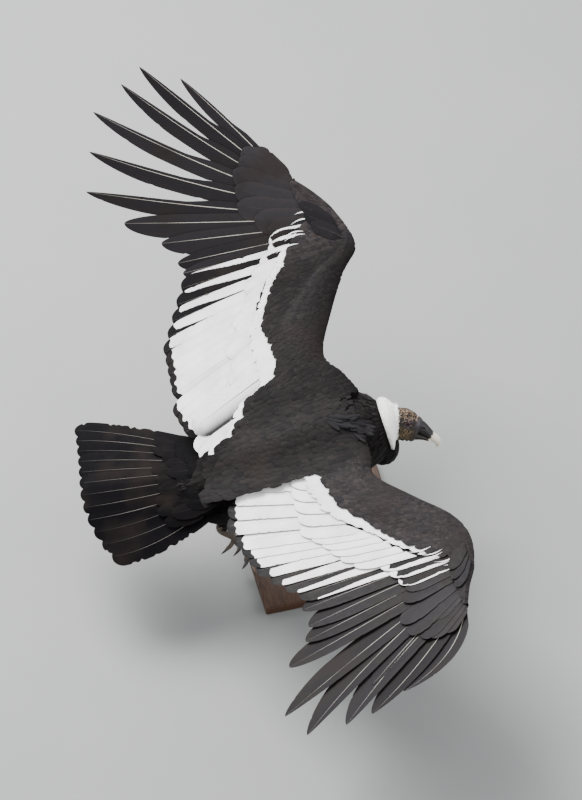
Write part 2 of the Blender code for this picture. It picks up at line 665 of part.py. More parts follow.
def build_head(ruff, skin, horn, eye_finish):
    rings = []
    for x, top, bottom, width in HEAD:
        rings.append(oval_ring(x, (top + bottom) / 2, width, (top - bottom) / 2, HEAD_SIDES))
    head = loft("head", rings, skin)
    behind = box("behind", Vector((NECK[-1][0] + HEAD_INSET - 0.1, 0.0, 0.0)), Vector((0.2, 0.6, 0.6)))
    behind.data.transform(head_frame().inverted())
    cut(head, behind)
    clear = grown(head)
    clear.data.transform(head_frame())
    cut(ruff, clear, "MANIFOLD")
    sides = (("eye_left", 1), ("eye_right", -1))
    lids = []
    for _, side in sides:
        lids.append(ring_about("lid", mirrored(EYE_AT + LID_OUT, side), EYE_RADIUS * 0.98, LID_RADIUS, 0.86))
    fuse(head, lids)
    bills = []
    for name, profile in (("bill_upper", BILL), ("bill_lower", LOWER_BILL)):
        rows = [bent_ring(x + (GAP if i == 0 else 0.0), *rest, 12) for i, (x, *rest) in enumerate(profile)]
        bills.append(loft(name, rows, horn))
    cut(bills[0], ball("nostril", NOSTRIL_AT, NOSTRIL_SIZE, steps=8))
    made = [head, *bills]
    for name, side in sides:
        cut(head, ball(name + "_socket", mirrored(EYE_AT, side), (EYE_RADIUS + GAP,) * 3, steps=14))
        cut(head, ball("ear", mirrored(EAR_AT, side), EAR_SIZE, steps=8))
        cut(head, box("gape", mirrored(GAPE_AT, side), GAPE_SIZE))
        made.append(ball(name, mirrored(EYE_AT, side), (EYE_RADIUS,) * 3, eye_finish, 14))
    for obj in made:
        obj.data.transform(head_frame())
    return made


def ruff_lock(turn, size, row):
    """One tuft of the ruff: it rises from the ring about the neck, leans forward and curls back."""
    out = Vector((0.0, math.cos(turn), math.sin(turn)))
    across = Vector((0.0, -math.sin(turn), math.cos(turn)))
    reach = 0.022 * size
    start = 0.060 - 0.006 * row
    ahead = 0.012 * row
    spine = (
        (0.007 + ahead, start, 0.011), (0.016 + ahead, start + 0.6 * reach, 0.016),
        (0.008 + ahead, start + 1.3 * reach, 0.004),
    )
    tops, bottoms = [], []
    for forward, radius, width in spine:
        middle = RUFF_AT + Vector((forward, 0.0, 0.0)) + out * radius
        lean = across * width + Vector((0.0022, 0.0, 0.0))
        face = (Vector((1.0, 0.0, 0.0)) + out).normalized() * (0.0006 if width < 0.005 else 0.0015)
        tops.append([middle + lean + face, middle - lean + face])
        bottoms.append([middle + lean - face, middle - lean - face])
    return blade("lock", tops, bottoms)


def build_body(feather, down):
    torso = loft("torso", [oval_ring(*ring, BODY_SIDES) for ring in TORSO], feather)
    rings = [(NECK[0][0] + GAP, *NECK[0][1:]), *NECK[1:]]
    neck = loft("neck", [oval_ring(*ring, BODY_SIDES) for ring in rings], feather)
    fuse(neck, [ball("crop", CROP_AT, CROP_SIZE, steps=14)])
    ahead = box("ahead", Vector((NECK[-1][0] + 0.1, 0.0, 0.0)), Vector((0.2, 0.6, 0.6)))
    cut(neck, ahead)
    behind = box("behind", Vector((NECK[0][0] + GAP - 0.1, 0.0, 0.0)), Vector((0.2, 0.6, 0.6)))
    cut(neck, behind)
    aside = Vector((0.0, RUFF_AT.y, 0.0))
    rings = [oval_ring(x, RUFF_AT.z, radius, radius, RUFF_SIDES, 1.0) for x, radius in RUFF_RINGS]
    ruff = loft("ruff", [[aside + point for point in ring] for ring in rings], down)
    locks = []
    chance = random.Random(RUFF_SEED)
    for row in range(RUFF_ROWS):
        for k in range(RUFF_LOCKS):
            turn = 2.0 * math.pi * (k + 0.5 * row + chance.uniform(-0.12, 0.12)) / RUFF_LOCKS
            size = (0.72 + 0.34 * math.cos(turn - math.radians(NAPE_DEG))) * chance.uniform(0.92, 1.08)
            locks.append(ruff_lock(turn, size, row))
    fuse(ruff, locks, "MANIFOLD")
    return torso, neck, ruff


# Legs: the knee at the belly, the ankle and the joint where the toes start
LEGS = {
    "left": ((-0.060, 0.068, -0.125), (-0.235, 0.066, -0.168), (-0.358, 0.056, -0.150)),
    "right": ((-0.150, -0.070, -0.125), (-0.372, -0.085, -0.198), (-0.352, -0.110, -0.296)),
}
# Toes: how far to the outer side they lean, their length and radius, and how far up the shank they start
TOES = {
    "inner": (-24.0, 0.066, 0.0080, 0.004), "middle": (0.0, 0.096, 0.0090, 0.0),
    "outer": (22.0, 0.070, 0.0078, 0.004), "hind": (None, 0.034, 0.0065, 0.018),
}
CURL_DEG, HIND_CURL_DEG = (-18.0, 8.0, 32.0), (55.0, 80.0)  # each bone of a toe, towards the sole
# The lowered leg's long feathers blow back above its ankle as one plume
SHANK_RADII = {"left": (0.052, 0.046, 0.026, 0.016), "right": (0.054, 0.054, 0.040, 0.018)}
PLUME, PLUME_RADII = ((-0.01, 0.016, 0.044), (-0.078, 0.035, 0.066)), (0.046, 0.030, 0.004)  # from its ankle
FOOT_RADII = (0.0115, 0.0125, 0.0098, 0.0095, 0.011)
CLAW_LENGTH, CLAW_SHARES = 0.030, (0.7, 0.62, 0.42, 0.08)  # radii as shares of the toe's


def foot_axes(ankle, joint):
    """Along the shank, and towards the sole's side."""
    along = (joint - ankle).normalized()
    up_and_back = Vector((-1.0, 0.0, 1.0))
    return along, (up_and_back - along * along.dot(up_and_back)).normalized()


def toe_path(joint, axes, side, toe):
    """The toe's joints, the way its last bone runs, and the way it leans."""
    lean, length, _, up = toe
    along, sole = axes
    hind = lean is None
    turn = Matrix.Rotation(0.0 if hind else math.radians(lean) * side, 3, sole)
    forward = turn @ along
    path = [joint - along * up + (sole * 0.008 if hind else forward * 0.004)]
    bends = HIND_CURL_DEG if hind else CURL_DEG
    for degrees in bends:
        bend = math.radians(degrees)
        last = forward * math.cos(bend) + sole * math.sin(bend)
        path.append(path[-1] + last * length / len(bends))
    return path, last, forward


def build_leg(name, joints, torso, feather, skin, horn):
    knee, ankle, joint = (Vector(j) for j in joints)
    side = 1.0 if name == "left" else -1.0
    axes = along, sole = foot_axes(ankle, joint)
    path = [knee, mix(knee, ankle, 0.4), mix(knee, ankle, 0.8), ankle]
    shank = tube(f"leg_{name}", path, SHANK_RADII[name], 12, feather)
    if name == "right":
        path = [mix(knee, ankle, 0.45), *(ankle + Vector(point) for point in PLUME)]
        fuse(shank, [tube("plume", path, PLUME_RADII, 10)])
    cut(shank, grown(torso))
    down = (ankle - knee).normalized()
    start = ankle + down * GAP
    path = [start, start + down * 0.016, start + down * 0.020 + along * 0.022]
    path += [mix(ankle, joint, 0.8), joint + along * 0.006]
    foot = tube(f"foot_{name}", path, FOOT_RADII, 10, skin)
    toes, claws = [], []
    for toe_name, toe in TOES.items():
        path, last, forward = toe_path(joint, axes, side, toe)
        radius, hind = toe[2], toe_name == "hind"
        shares = (1.0, 0.95, 0.8) if hind else (1.05, 1.0, 0.9, 0.75)
        toes.append(tube("toe", path, [radius * share for share in shares], 7))
        length = CLAW_LENGTH * (0.75 if hind else 1.0)
        tip_way = (last + (sole - forward * 0.2).normalized() * 0.9).normalized()
        base = path[-1] + last * GAP
        curve = [base, base + last * length * 0.3, base + (last + tip_way).normalized() * length * 0.68]
        curve += [curve[-1] + tip_way * length * 0.36]
        radii = [radius * share for share in CLAW_SHARES]
        claws.append(tube(f"claw_{name}_{toe_name}", curve, radii, 7, horn))
    return [shank, fuse(foot, toes)] + claws


STAND_SIZE = (0.46, 0.50, 0.028)
ROD_RADIUS = 0.009
COLLAR_RADIUS, COLLAR_HEIGHT = 0.026, 0.014


def round_bar(name, radius, low, high, material=None, sides=24):
    return tube(name, [Vector((0.0, 0.0, low)), Vector((0.0, 0.0, high))], (radius, radius), sides, material)


def build_stand(torso, flight, wood, metal):
    height = STAND_SIZE[2]
    base = box("stand_base", Vector((0.0, 0.0, height / 2)), Vector(STAND_SIZE), wood)
    edge = base.modifiers.new("edge", "BEVEL")
    edge.width, edge.segments = 0.004, 2
    foot = height + GAP
    rod = round_bar("stand_rod", ROD_RADIUS, foot, FLIGHT_HEIGHT, metal)
    cutter = grown(torso)
    cutter.data.transform(flight)
    cut(rod, cutter)
    collar = round_bar("stand_collar", COLLAR_RADIUS, foot, foot + COLLAR_HEIGHT, metal)
    cut(collar, round_bar("hole", ROD_RADIUS + GAP, 0.0, foot + 2 * COLLAR_HEIGHT))


def main():
    remove(bpy.data.objects)
    feather = colour("black_feather", (0.016, 0.015, 0.017), 0.5)
    down = colour("white_down", (0.85, 0.84, 0.80), 0.9)
    skin = colour("bare_skin", (0.09, 0.06, 0.05), 0.6)
    foot_skin = colour("foot_skin", (0.16, 0.12, 0.10), 0.6)
    horn = colour("horn", (0.62, 0.58, 0.45), 0.35)
    claw = colour("claw", (0.03, 0.025, 0.022), 0.4)
    iris = colour("eye", (0.12, 0.01, 0.01), 0.1)
    wood = colour("stained_wood", (0.09, 0.045, 0.02), 0.4)
    metal = colour("dark_metal", (0.05, 0.05, 0.055), 0.35, 1.0)

    turn = Matrix.Rotation(math.radians(-PITCH_DEG), 4, "Y") @ Matrix.Rotation(math.radians(BANK_DEG), 4, "X")
    held = turn @ HELD_AT
    flight = Matrix.Translation((-held.x, -held.y, FLIGHT_HEIGHT)) @ turn

    torso, neck, ruff = build_body(feather, down)
    bird = [torso, neck, ruff] + build_head(ruff, skin, horn, iris)
    for name, pose in WINGS.items():
        bird += build_wing(name, pose, torso, feather)
    bird += build_tail(torso, feather)
    for name, joints in LEGS.items():
        bird += build_leg(name, joints, torso, feather, foot_skin, claw)
    build_stand(torso, flight, wood, metal)

    holder = bpy.data.objects.new("flight", None)
    bpy.context.scene.collection.objects.link(holder)
    holder.matrix_world = flight
    for obj in bird:
        obj.parent = holder
        obj.data.shade_smooth()
        obj.data.set_sharp_from_angle(angle=math.radians(35.0))


main()
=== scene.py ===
"""Looks of the gliding Andean condor on its stand: skin, feathers, head, feet and finishes.

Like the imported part, the bird is shaped in its own frame, X forward, Y left and Z up, with zero between
the shoulder joints, and FLIGHT then sets it over the stand. On a wing a place is (out, forward), where
out is the distance from the body's middle plane.
"""

import math
from collections import namedtuple

import bmesh
import bpy
import numpy as np
from mathutils import Matrix, Vector, noise


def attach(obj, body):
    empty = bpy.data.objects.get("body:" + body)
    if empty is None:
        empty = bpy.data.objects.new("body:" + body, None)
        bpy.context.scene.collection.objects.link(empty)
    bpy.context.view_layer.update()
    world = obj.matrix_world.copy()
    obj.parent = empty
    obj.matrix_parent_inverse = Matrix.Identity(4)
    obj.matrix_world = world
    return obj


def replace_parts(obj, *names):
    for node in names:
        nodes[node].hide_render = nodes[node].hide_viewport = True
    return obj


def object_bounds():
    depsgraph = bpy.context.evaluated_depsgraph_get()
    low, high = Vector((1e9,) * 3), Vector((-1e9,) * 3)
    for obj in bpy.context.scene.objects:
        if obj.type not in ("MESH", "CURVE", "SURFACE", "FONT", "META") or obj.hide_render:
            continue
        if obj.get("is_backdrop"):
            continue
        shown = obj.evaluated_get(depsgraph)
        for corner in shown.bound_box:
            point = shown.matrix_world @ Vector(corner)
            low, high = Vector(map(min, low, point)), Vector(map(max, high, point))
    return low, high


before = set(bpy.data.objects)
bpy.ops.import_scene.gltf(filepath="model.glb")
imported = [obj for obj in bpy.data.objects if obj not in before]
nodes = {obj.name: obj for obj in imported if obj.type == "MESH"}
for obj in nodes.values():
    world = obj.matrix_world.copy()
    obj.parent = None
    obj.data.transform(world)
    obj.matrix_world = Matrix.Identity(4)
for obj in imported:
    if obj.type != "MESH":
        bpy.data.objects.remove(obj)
cad_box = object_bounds()
chance = np.random.default_rng(5)
FULL_TURN = 2.0 * math.pi

# How the bird is held
PITCH_DEG, BANK_DEG, FLIGHT_HEIGHT = 10.0, 15.0, 0.52
HELD_AT = Vector((-0.05, 0.0, -0.16))
TURN = Matrix.Rotation(math.radians(-PITCH_DEG), 4, "Y") @ Matrix.Rotation(math.radians(BANK_DEG), 4, "X")
HELD = TURN @ HELD_AT
FLIGHT = Matrix.Translation((-HELD.x, -HELD.y, FLIGHT_HEIGHT)) @ TURN

# Colours, linear
BLACK = np.array((0.0043, 0.0038, 0.0043))
BROWN = np.array((0.018, 0.0135, 0.0115))
# the dark grey at the end of the painted shade on the askew feather's inner web
SHADE_GREY = np.array((0.0352, 0.0336, 0.0336))
WHITE = np.array((0.90, 0.89, 0.88))
SHAFT_PALE = np.array((0.38, 0.35, 0.31))
SHAFT_DARK = np.array((0.05, 0.042, 0.036))
HEAD_TONES = {
    "skin": (0.016, 0.0105, 0.0075), "flecks": (0.44, 0.32, 0.23), "cheek": (0.150, 0.108, 0.048),
    # cere: a painted highlight, pale lavender, on top of the cere
    "socket": (0.030, 0.014, 0.019), "forehead": (0.022, 0.020, 0.024), "cere": (0.10, 0.085, 0.11),
    "throat": (0.018, 0.014, 0.013), "lids": (0.060, 0.034, 0.044), "iris": (0.024, 0.004, 0.005),
    # nostril: painted shade, near black, in the nostrils' openings
    "pupil": (0.002, 0.002, 0.002), "nostril": (0.004, 0.004, 0.004), "ivory": (0.74, 0.68, 0.56),
    "ivory_tip": (0.50, 0.42, 0.30), "bill_upper": (0.017, 0.014, 0.015), "bill_lower": (0.016, 0.012, 0.009),
    "pale_bristle": (0.42, 0.31, 0.22), "dark_bristle": (0.020, 0.014, 0.011),
}
FOOT_TONE, CLAW_TONE = (0.105, 0.082, 0.062), (0.016, 0.014, 0.013)
ALL_DARK, ALL_WHITE = -1.0, 1.0

# Wing bones and poses. A wing's angles are degrees forward of straight out, a feather's are behind it.
# The leading edge lies by_neck ahead of the shoulders at the neck, patagium ahead of the line from
# shoulder to wrist, and hand_edge ahead of the hand. Each primary, the innermost first, has its angle in
# fan, its length as a share in grown, its bend in bow and its width as a share in slimmed. The black ends
# at white_from, places from the body to the wrist. White tips and the askew feather are the arm's, counted
# from the wrist, and striped is how many of those have a dark inner web. The tones are how many times paler
# than black the small feathers are on the arm, and all feathers on the hand.
# The tones are partly the feathers' own paler tone and partly painted sheen, most of all on the right wing's
# arm.
SHOULDER_OUT, SHOULDER_UP = 0.085, 0.06
HUMERUS, FOREARM, HAND = 0.275, 0.320, 0.225
PATAGIUM_AT = (0.3, 0.55, 0.8)
WINGS = {
    "left": {
        "side": 1, "humerus": -3.0, "forearm": 54.5, "hand": -31.0,
        "by_neck": 0.145, "patagium": (-0.005, -0.008, 0.005), "hand_edge": (0.034, 0.034, 0.022),
        "secondaries": 9, "secondary_angles": (86.5, 105.0), "secondary_lengths": (0.515, 0.505, 0.40),
        "tertials": 6, "tertial_angles": (107.0, 113.0), "tertial_lengths": (0.42, 0.405),
        "fan": (84.9, 83.4, 78.4, 73.9, 68.1, 60.2, 52.2, 43.5, 37.0, 30.7),
        "grown": (0.99, 0.985, 0.98, 0.99, 0.98, 0.965, 1.0, 0.995, 1.035, 1.05),
        "bow": (0.0, 0.0, 0.0, 0.0, -0.01, -0.015, -0.015, -0.015, 0.0, 0.02),
        "slimmed": (1.0, 1.0, 1.0, 1.0, 0.86, 0.84, 0.82, 0.82, 0.80, 0.64),
        "white_from": (
            (0.050, -0.42), (0.065, -0.353), (0.079, -0.279), (0.121, -0.228), (0.162, -0.205),
            (0.177, -0.158), (0.205, -0.099), (0.258, -0.077), (0.338, -0.081), (0.372, -0.084),
            (0.427, -0.054), (0.482, -0.012), (0.511, 0.026), (0.574, 0.073), (0.611, 0.117),
        ),
        "white_tips": (13, 14), "askew": 12, "striped": 6.4, "black_tip": 0.023,
        "secondary_halves": (0.034, 0.043), "primary_halves": (0.024, 0.041),
        "finger": (0.46, 0.42, 0.40, 0.38), "streak_lean": 20.0, "tones": (1.3, 3.5),
    },
    "right": {
        "side": -1, "humerus": 8.1, "forearm": 56.2, "hand": -17.0,
        "by_neck": 0.115, "patagium": (0.015, 0.03, 0.05), "hand_edge": (0.022, 0.012, 0.010),
        "secondaries": 7, "secondary_angles": (89.5, 105.0), "secondary_lengths": (0.518, 0.50, 0.415),
        "tertials": 4, "tertial_angles": (107.0, 112.0), "tertial_lengths": (0.42, 0.36),
        "fan": (87.0, 82.0, 78.8, 74.6, 62.5, 54.3, 52.0, 49.4, 45.8, 41.7),
        "grown": (1.05, 1.045, 1.03, 1.01, 1.02, 1.035, 0.672, 1.0, 0.96, 0.94),
        "bow": (0.0, 0.0, 0.0, 0.0, -0.02, -0.05, -0.02, -0.04, 0.03, 0.13),
        "slimmed": (1.0, 1.0, 1.0, 1.0, 1.0, 1.0, 1.0, 1.0, 1.0, 0.9),
        "white_from": (
            (0.110, -0.42), (0.123, -0.356), (0.138, -0.222), (0.142, -0.108), (0.163, -0.064),
            (0.223, -0.049), (0.289, -0.03), (0.386, 0.051), (0.462, 0.112), (0.50, 0.152), (0.556, 0.213),
        ),
        "white_tips": (), "askew": None, "striped": 5.5, "black_tip": 0.029,
        "secondary_halves": (0.036, 0.047), "primary_halves": (0.034, 0.062),
        "finger": (0.90, 0.76, 0.68, 0.60), "streak_lean": 4.0, "tones": (2.8, 2.9),
    },
}
PRIMARY_LENGTHS = (0.505, 0.503, 0.53, 0.615, 0.718, 0.71, 0.677, 0.61, 0.543, 0.41)
PRIMARY_ROOTS = (0.06, 0.96)  # shares of the way from the wrist to the hand's end
NOTCHED_FROM = 4  # the innermost primary with a narrow finger
TILT, CLEAR = 0.14, 0.0018  # a feather's slope across, and the least gap to the next one
EDGE_GAP, VANE_HALF = 0.0004, 0.0005  # VANE_HALF is half a vane's thickness beside its shaft
COVERT_SHARE = 0.54  # of a secondary's length
PRIMARY_COVERT_SHARES = (0.47, 0.43, 0.38, 0.36)  # the innermost primaries' first
WHITE_EDGES = ((0.012, 0.024), (0.0065, 0.012))  # inner primary coverts': along the edge, at the tip
OUTER_COVERT_EDGES = (0.016, 0.030)
ASKEW_TURN, ASKEW_RISE, ASKEW_SHORTER = -3.0, 0.012, 0.030
COVER_LIFT = {"arm": 0.0165, "hand": 0.0115}  # how far small feathers lie over the flight feathers
UNDER_LIFT = 0.011
ALULA_LENGTHS = (0.105, 0.125, 0.140)
# Loose white streaks at the wrist: how far in and forward of the white's outer end they root, length and bend
STREAKS = (
    (-0.030, 0.030, 0.050, 0.12), (-0.008, 0.034, 0.078, 0.14), (0.012, 0.022, 0.058, 0.10),
    (0.022, 0.036, 0.066, 0.11), (0.043, 0.030, 0.074, 0.09),
)
STREAK_HALF, STREAK_LIFT, STREAK_RISE = 0.0019, 0.0018, 0.0010
MEDIAN_ROOTS, MEDIAN_GAP = (0.045, 0.030), 0.0120  # how far ahead of the white its two rows root

# Shares of a large feather's half widths along it, leading and trailing
ALONG = (0.0, 0.06, 0.12, 0.2, 0.3, 0.45, 0.57, 0.7, 0.84, 1.0)
BROAD = (
    (0.2, 0.3, 0.6, 0.92, 1.0, 1.0, 1.0, 1.0, 0.97, 0.95),
    (0.15, 0.25, 0.6, 0.92, 1.0, 1.0, 1.0, 1.0, 0.97, 0.95),
)
FINGER_BASE = (0.2, 0.25, 0.5, 0.85, 0.95, 0.95)
FINGER_TRAILING = (0.15, 0.2, 0.5, 0.85, 0.95, 1.0, 1.0, 0.98, 0.94, 0.90)

# Kinds of large feather: half widths, where and how the tip narrows, rows and columns of points, splits in
# each edge and their depth, and the shaft's radius
Kind = namedtuple("Kind", "halves tip rows columns splits shaft")
SECONDARY = Kind(None, (0.87, 2.2, 0.42), 54, 13, (3, 0.08), 0.0012)
ASKEW = SECONDARY._replace(halves=(0.036, 0.050), shaft=0.0018)
PRIMARY = Kind(None, (0.74, 2.0, 0.55), 54, 13, (2, 0.07), 0.0019)
FINGER_TIP = (0.70, 1.7, 0.68)
COVERT = Kind((0.033, 0.042), (0.72, 2.0, 0.5), 30, 11, (2, 0.06), 0.0009)
HAND_COVERT = COVERT._replace(tip=(0.74, 2.0, 0.5), splits=(2, 0.12))
ALULA = Kind((0.021, 0.021), (0.60, 2.0, 0.5), 30, 11, (2, 0.1), 0.0011)
RECTRIX = Kind((0.034, 0.034), (0.9, 2.0, 0.5), 54, 13, (9, 0.26), 0.0012)
TAIL_COVERT = Kind((0.030, 0.030), (0.62, 2.0, 0.5), 22, 9, (2, 0.2), 0.0009)

# Tail, and its coverts' rows: how many, how long, how wide they spread and how high they lie
RECTRICES = 12
TAIL_ROOT = np.array((-0.300, -0.003, -0.0315))
TAIL_LENGTH, TAIL_OUTER_LENGTHS, TAIL_SPREAD = 0.466, (0.476, 0.386), 0.213
TAIL_YAW_DEG, TAIL_ROOF, TAIL_ARCH, TAIL_DROP, TAIL_FLARES = 13.0, 0.10, 0.36, 0.03, (1.35, 1.8)
TAIL_ROOTS, RECTRIX_LIFT, RECTRIX_STEP = 0.045, 0.004, 0.0017
TAIL_COVERTS = (
    (9, 0.235, 0.135, 0.0065), (8, 0.19, 0.115, 0.0105), (7, 0.15, 0.09, 0.0145),
    (6, 0.255, 0.125, -0.0115), (5, 0.20, 0.10, -0.015),
)

# Torso and neck rings: x, height of the middle, half width, half height
BODY = np.array((
    (-0.430, -0.038, 0.018, 0.010), (-0.412, -0.036, 0.036, 0.020), (-0.392, -0.035, 0.046, 0.034),
    (-0.370, -0.036, 0.056, 0.046), (-0.330, -0.040, 0.078, 0.070), (-0.250, -0.044, 0.102, 0.098),
    (-0.150, -0.046, 0.116, 0.112), (-0.050, -0.045, 0.123, 0.118), (0.040, -0.042, 0.124, 0.117),
    (0.100, -0.040, 0.118, 0.111), (0.130, -0.039, 0.110, 0.104), (0.152, -0.040, 0.098, 0.094),
    (0.166, -0.043, 0.085, 0.082), (0.178, -0.045, 0.070, 0.068),
))
BODY_AROUND = 0.11  # the radius that turns a way around the torso into an angle
CROP_AT, CROP_SIZE = (0.150, -0.042, -0.100), (0.053, 0.062, 0.062)
COAT_DEPTH, CROP_COAT_DEPTH = 0.004, 0.003  # from the outer form down to the skin
RUFFLE_FROM, RUFFLE_TO, RUFFLED = (0.016, 0.012), (0.088, -0.044), 38

# Head: rings of x, top, bottom and half width, and the bill's of x, z, degrees down, half height and
# half width
HEAD_AT = Vector((0.244, -0.020, -0.064))
HEAD_TURNS_DEG = (("Z", -32.5), ("Y", 24.8), ("X", -45.0))
HEAD = np.array((
    (-0.076, 0.010, -0.056, 0.032), (-0.064, 0.022, -0.064, 0.036), (-0.048, 0.033, -0.067, 0.037),
    (-0.032, 0.040, -0.065, 0.036), (-0.016, 0.043, -0.060, 0.0335), (0.0, 0.0415, -0.055, 0.0295),
    (0.014, 0.0375, -0.051, 0.0265), (0.026, 0.034, -0.048, 0.0235), (0.036, 0.0295, -0.044, 0.018),
))
BILL = np.array((
    (0.028, 0.0090, 0.0, 0.0205, 0.0150), (0.040, 0.0070, 2.0, 0.0207, 0.0148),
    (0.052, 0.0040, 5.0, 0.0185, 0.0138), (0.066, -0.0012, 9.0, 0.0155, 0.0128),
    (0.080, -0.0072, 14.0, 0.0135, 0.0122), (0.092, -0.0105, 24.0, 0.0132, 0.0115),
    (0.1010, -0.0150, 42.0, 0.0118, 0.0100), (0.1070, -0.0215, 64.0, 0.0092, 0.0075),
    (0.1095, -0.0290, 82.0, 0.0058, 0.0048), (0.1095, -0.0365, 92.0, 0.0011, 0.0011),
))
LOWER_BILL = np.array((
    (0.026, -0.0280, 0.0, 0.0145, 0.0145), (0.040, -0.0250, 0.0, 0.0125, 0.0136),
    (0.057, -0.0215, 0.0, 0.0092, 0.0120), (0.077, -0.0210, 0.0, 0.0058, 0.0098),
    (0.088, -0.0220, 0.0, 0.0030, 0.0055),
))
IVORY_FROM = {"bill_upper": 0.079, "bill_lower": 0.076}
EYE_AT, EYE_RADIUS = np.array((-0.004, 0.0215, 0.0150)), 0.0095
LIDS = ((0.0082, 0.0054, 0.0013, 0.82), (0.0118, 0.0036, 0.0017, 0.86))  # radius, way out, thickness, oval
NOSTRIL_AT, NOSTRIL_SIZE = (0.046, 0.010), (0.0055, 0.0022)
BRISTLES, BRISTLE_AROUND = 1300, 0.035
RUFF_AT, NAPE_DEG, RUFF_AROUND = np.array((0.174, -0.008, -0.045)), 52.0, 0.06
RUFF_WIDTHS, RUFF_CRESTS, RUFF_RADII = (0.015, 0.046), (0.010, 0.017), (0.074, 0.053)
RUFF_INNER, RUFF_TUFTS = 0.72, 6500

# Legs: the knee at the belly, the ankle and the joint where the toes start
LEGS = {
    "left": ((-0.060, 0.068, -0.125), (-0.235, 0.066, -0.168), (-0.358, 0.056, -0.150)),
    "right": ((-0.150, -0.070, -0.125), (-0.372, -0.085, -0.198), (-0.352, -0.110, -0.296)),
}
THIGH_AT = (0.0, 0.4, 0.8, 1.0)
THIGH_RADII = {"left": (0.030, 0.046, 0.026, 0.016), "right": (0.034, 0.053, 0.040, 0.018)}
PLUME_FROM, PLUME_RADII = 0.45, (0.046, 0.030, 0.004)
PLUME = ((-0.01, 0.016, 0.044), (-0.078, 0.035, 0.066))  # from the lowered ankle
# Toes: how far to the outer side they lean, their length and radius, and how far up the shank they start
TOES = {
    "inner": (-24.0, 0.066, 0.0080, 0.004), "middle": (0.0, 0.096, 0.0090, 0.0),
    "outer": (22.0, 0.070, 0.0078, 0.004), "hind": (None, 0.034, 0.0065, 0.018),
}
CURL_DEG, HIND_CURL_DEG = (-18.0, 8.0, 32.0), (55.0, 80.0)
TOE_SHARES, HIND_SHARES = (1.05, 1.0, 0.9, 0.75), (1.0, 0.95, 0.8)
FOOT_RADII = (0.0115, 0.0125, 0.0098, 0.0095, 0.011)
FOOT_SCUTE, TOE_SCUTE, SCUTE_HEIGHT, PAD_HEIGHT, PADS = 0.0055, 0.0042, 0.0009, 0.0016, 2.5
CLAW_LENGTH, HIND_CLAW_SHARE, CLAW_SHARES = 0.030, 0.75, (0.7, 0.62, 0.42, 0.08)

# Studio: half the floor's side, the sky, and each lamp's place, size and watts
FLOOR_HALF, FLOOR_TONES = 60.0, ((0.24, 0.245, 0.24), (0.265, 0.265, 0.26))
SKY, SKY_STRENGTH = (0.95, 0.97, 1.0, 1.0), 1.46
LAMPS = {"key": ((-1.5, 2.5, 4.5), 3.0, 760.0), "fill": ((3.0, -3.0, 3.0), 4.0, 80.0)}
LAMPS_AIM = Vector((0.0, 0.0, 0.5))


def unit(v):
    return v / np.linalg.norm(v, axis=-1, keepdims=True)


def mix(a, b, t):
    return np.asarray(a) + (np.asarray(b) - a) * t


def step(low, high, value):
    t = np.clip((value - low) / (high - low), 0.0, 1.0)
    return t * t * (3.0 - 2.0 * t)


def within(value, rise, fall):
    """1 between two limits, each a pair that it runs to 0 over."""
    return step(*rise, value) * (1.0 - step(*fall, value))


def heading(degrees):
    """Unit vectors in a wing's plan; 0 is straight out."""
    angle = np.radians(degrees)
    return np.stack((np.cos(angle), np.sin(angle)), -1)


def spline(points, t):
    """A smooth curve, Catmull-Rom, through evenly spaced points, at every t from 0 to 1."""
    points = np.asarray(points, float)
    place = np.clip(np.asarray(t, float), 0.0, 1.0) * (len(points) - 1)
    low = np.minimum(place.astype(int), len(points) - 2)
    u = (place - low)[..., None]
    a, b, c, d = (points[np.clip(low + k, 0, len(points) - 1)] for k in (-1, 0, 1, 2))
    square, cube = 2 * a - 5 * b + 4 * c - d, 3 * b - a - 3 * c + d
    return 0.5 * (2 * b + (c - a) * u + square * u * u + cube * u ** 3)


def rings(stations, sides):
    """A grid of stations and of the angles around each."""
    return np.meshgrid(stations, np.linspace(0.0, FULL_TURN, sides, endpoint=False), indexing="ij")


def oval(angle, wide, high, exponent=0.9):
    across, up = np.cos(angle), np.sin(angle)
    return wide * np.sign(across) * np.abs(across) ** exponent, high * np.sign(up) * np.abs(up) ** exponent


def joined(*coordinates):
    return np.stack(np.broadcast_arrays(*coordinates), -1)


def moved(points, matrix):
    matrix = np.array(matrix)
    return points @ matrix[:3, :3].T + matrix[:3, 3]


def rough(points, scale):
    """Even noise, about -1 to 1, at each point."""
    flat = points.reshape(-1, 3) * scale
    return np.array([noise.noise(Vector(p)) for p in flat]).reshape(points.shape[:-1])


def marked(tone, mark):
    """A dark colour with, as its fourth number, how far inside the feather's white each point lies."""
    mark = np.asarray(mark, float)[..., None]
    shape = np.broadcast_shapes(np.shape(tone)[:-1], mark.shape[:-1])
    return np.concatenate((np.broadcast_to(tone, (*shape, 3)), np.broadcast_to(mark, (*shape, 1))), -1)


def placed(name, data):
    """A new object in the scene."""
    obj = bpy.data.objects.new(name, data)
    bpy.context.scene.collection.objects.link(obj)
    return obj


def dress(name, mesh, tints, material):
    """Makes a mesh a smooth piece, which rides on the one body, in its tints and its finish."""
    mesh.polygons.foreach_set("use_smooth", np.ones(len(mesh.polygons), bool))
    tint = mesh.color_attributes.new("Tint", "FLOAT_COLOR", "POINT")
    tint.data.foreach_set("color", tints.ravel())
    mesh.materials.append(material)
    obj = placed(name, mesh)
    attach(obj, "root")
    return obj


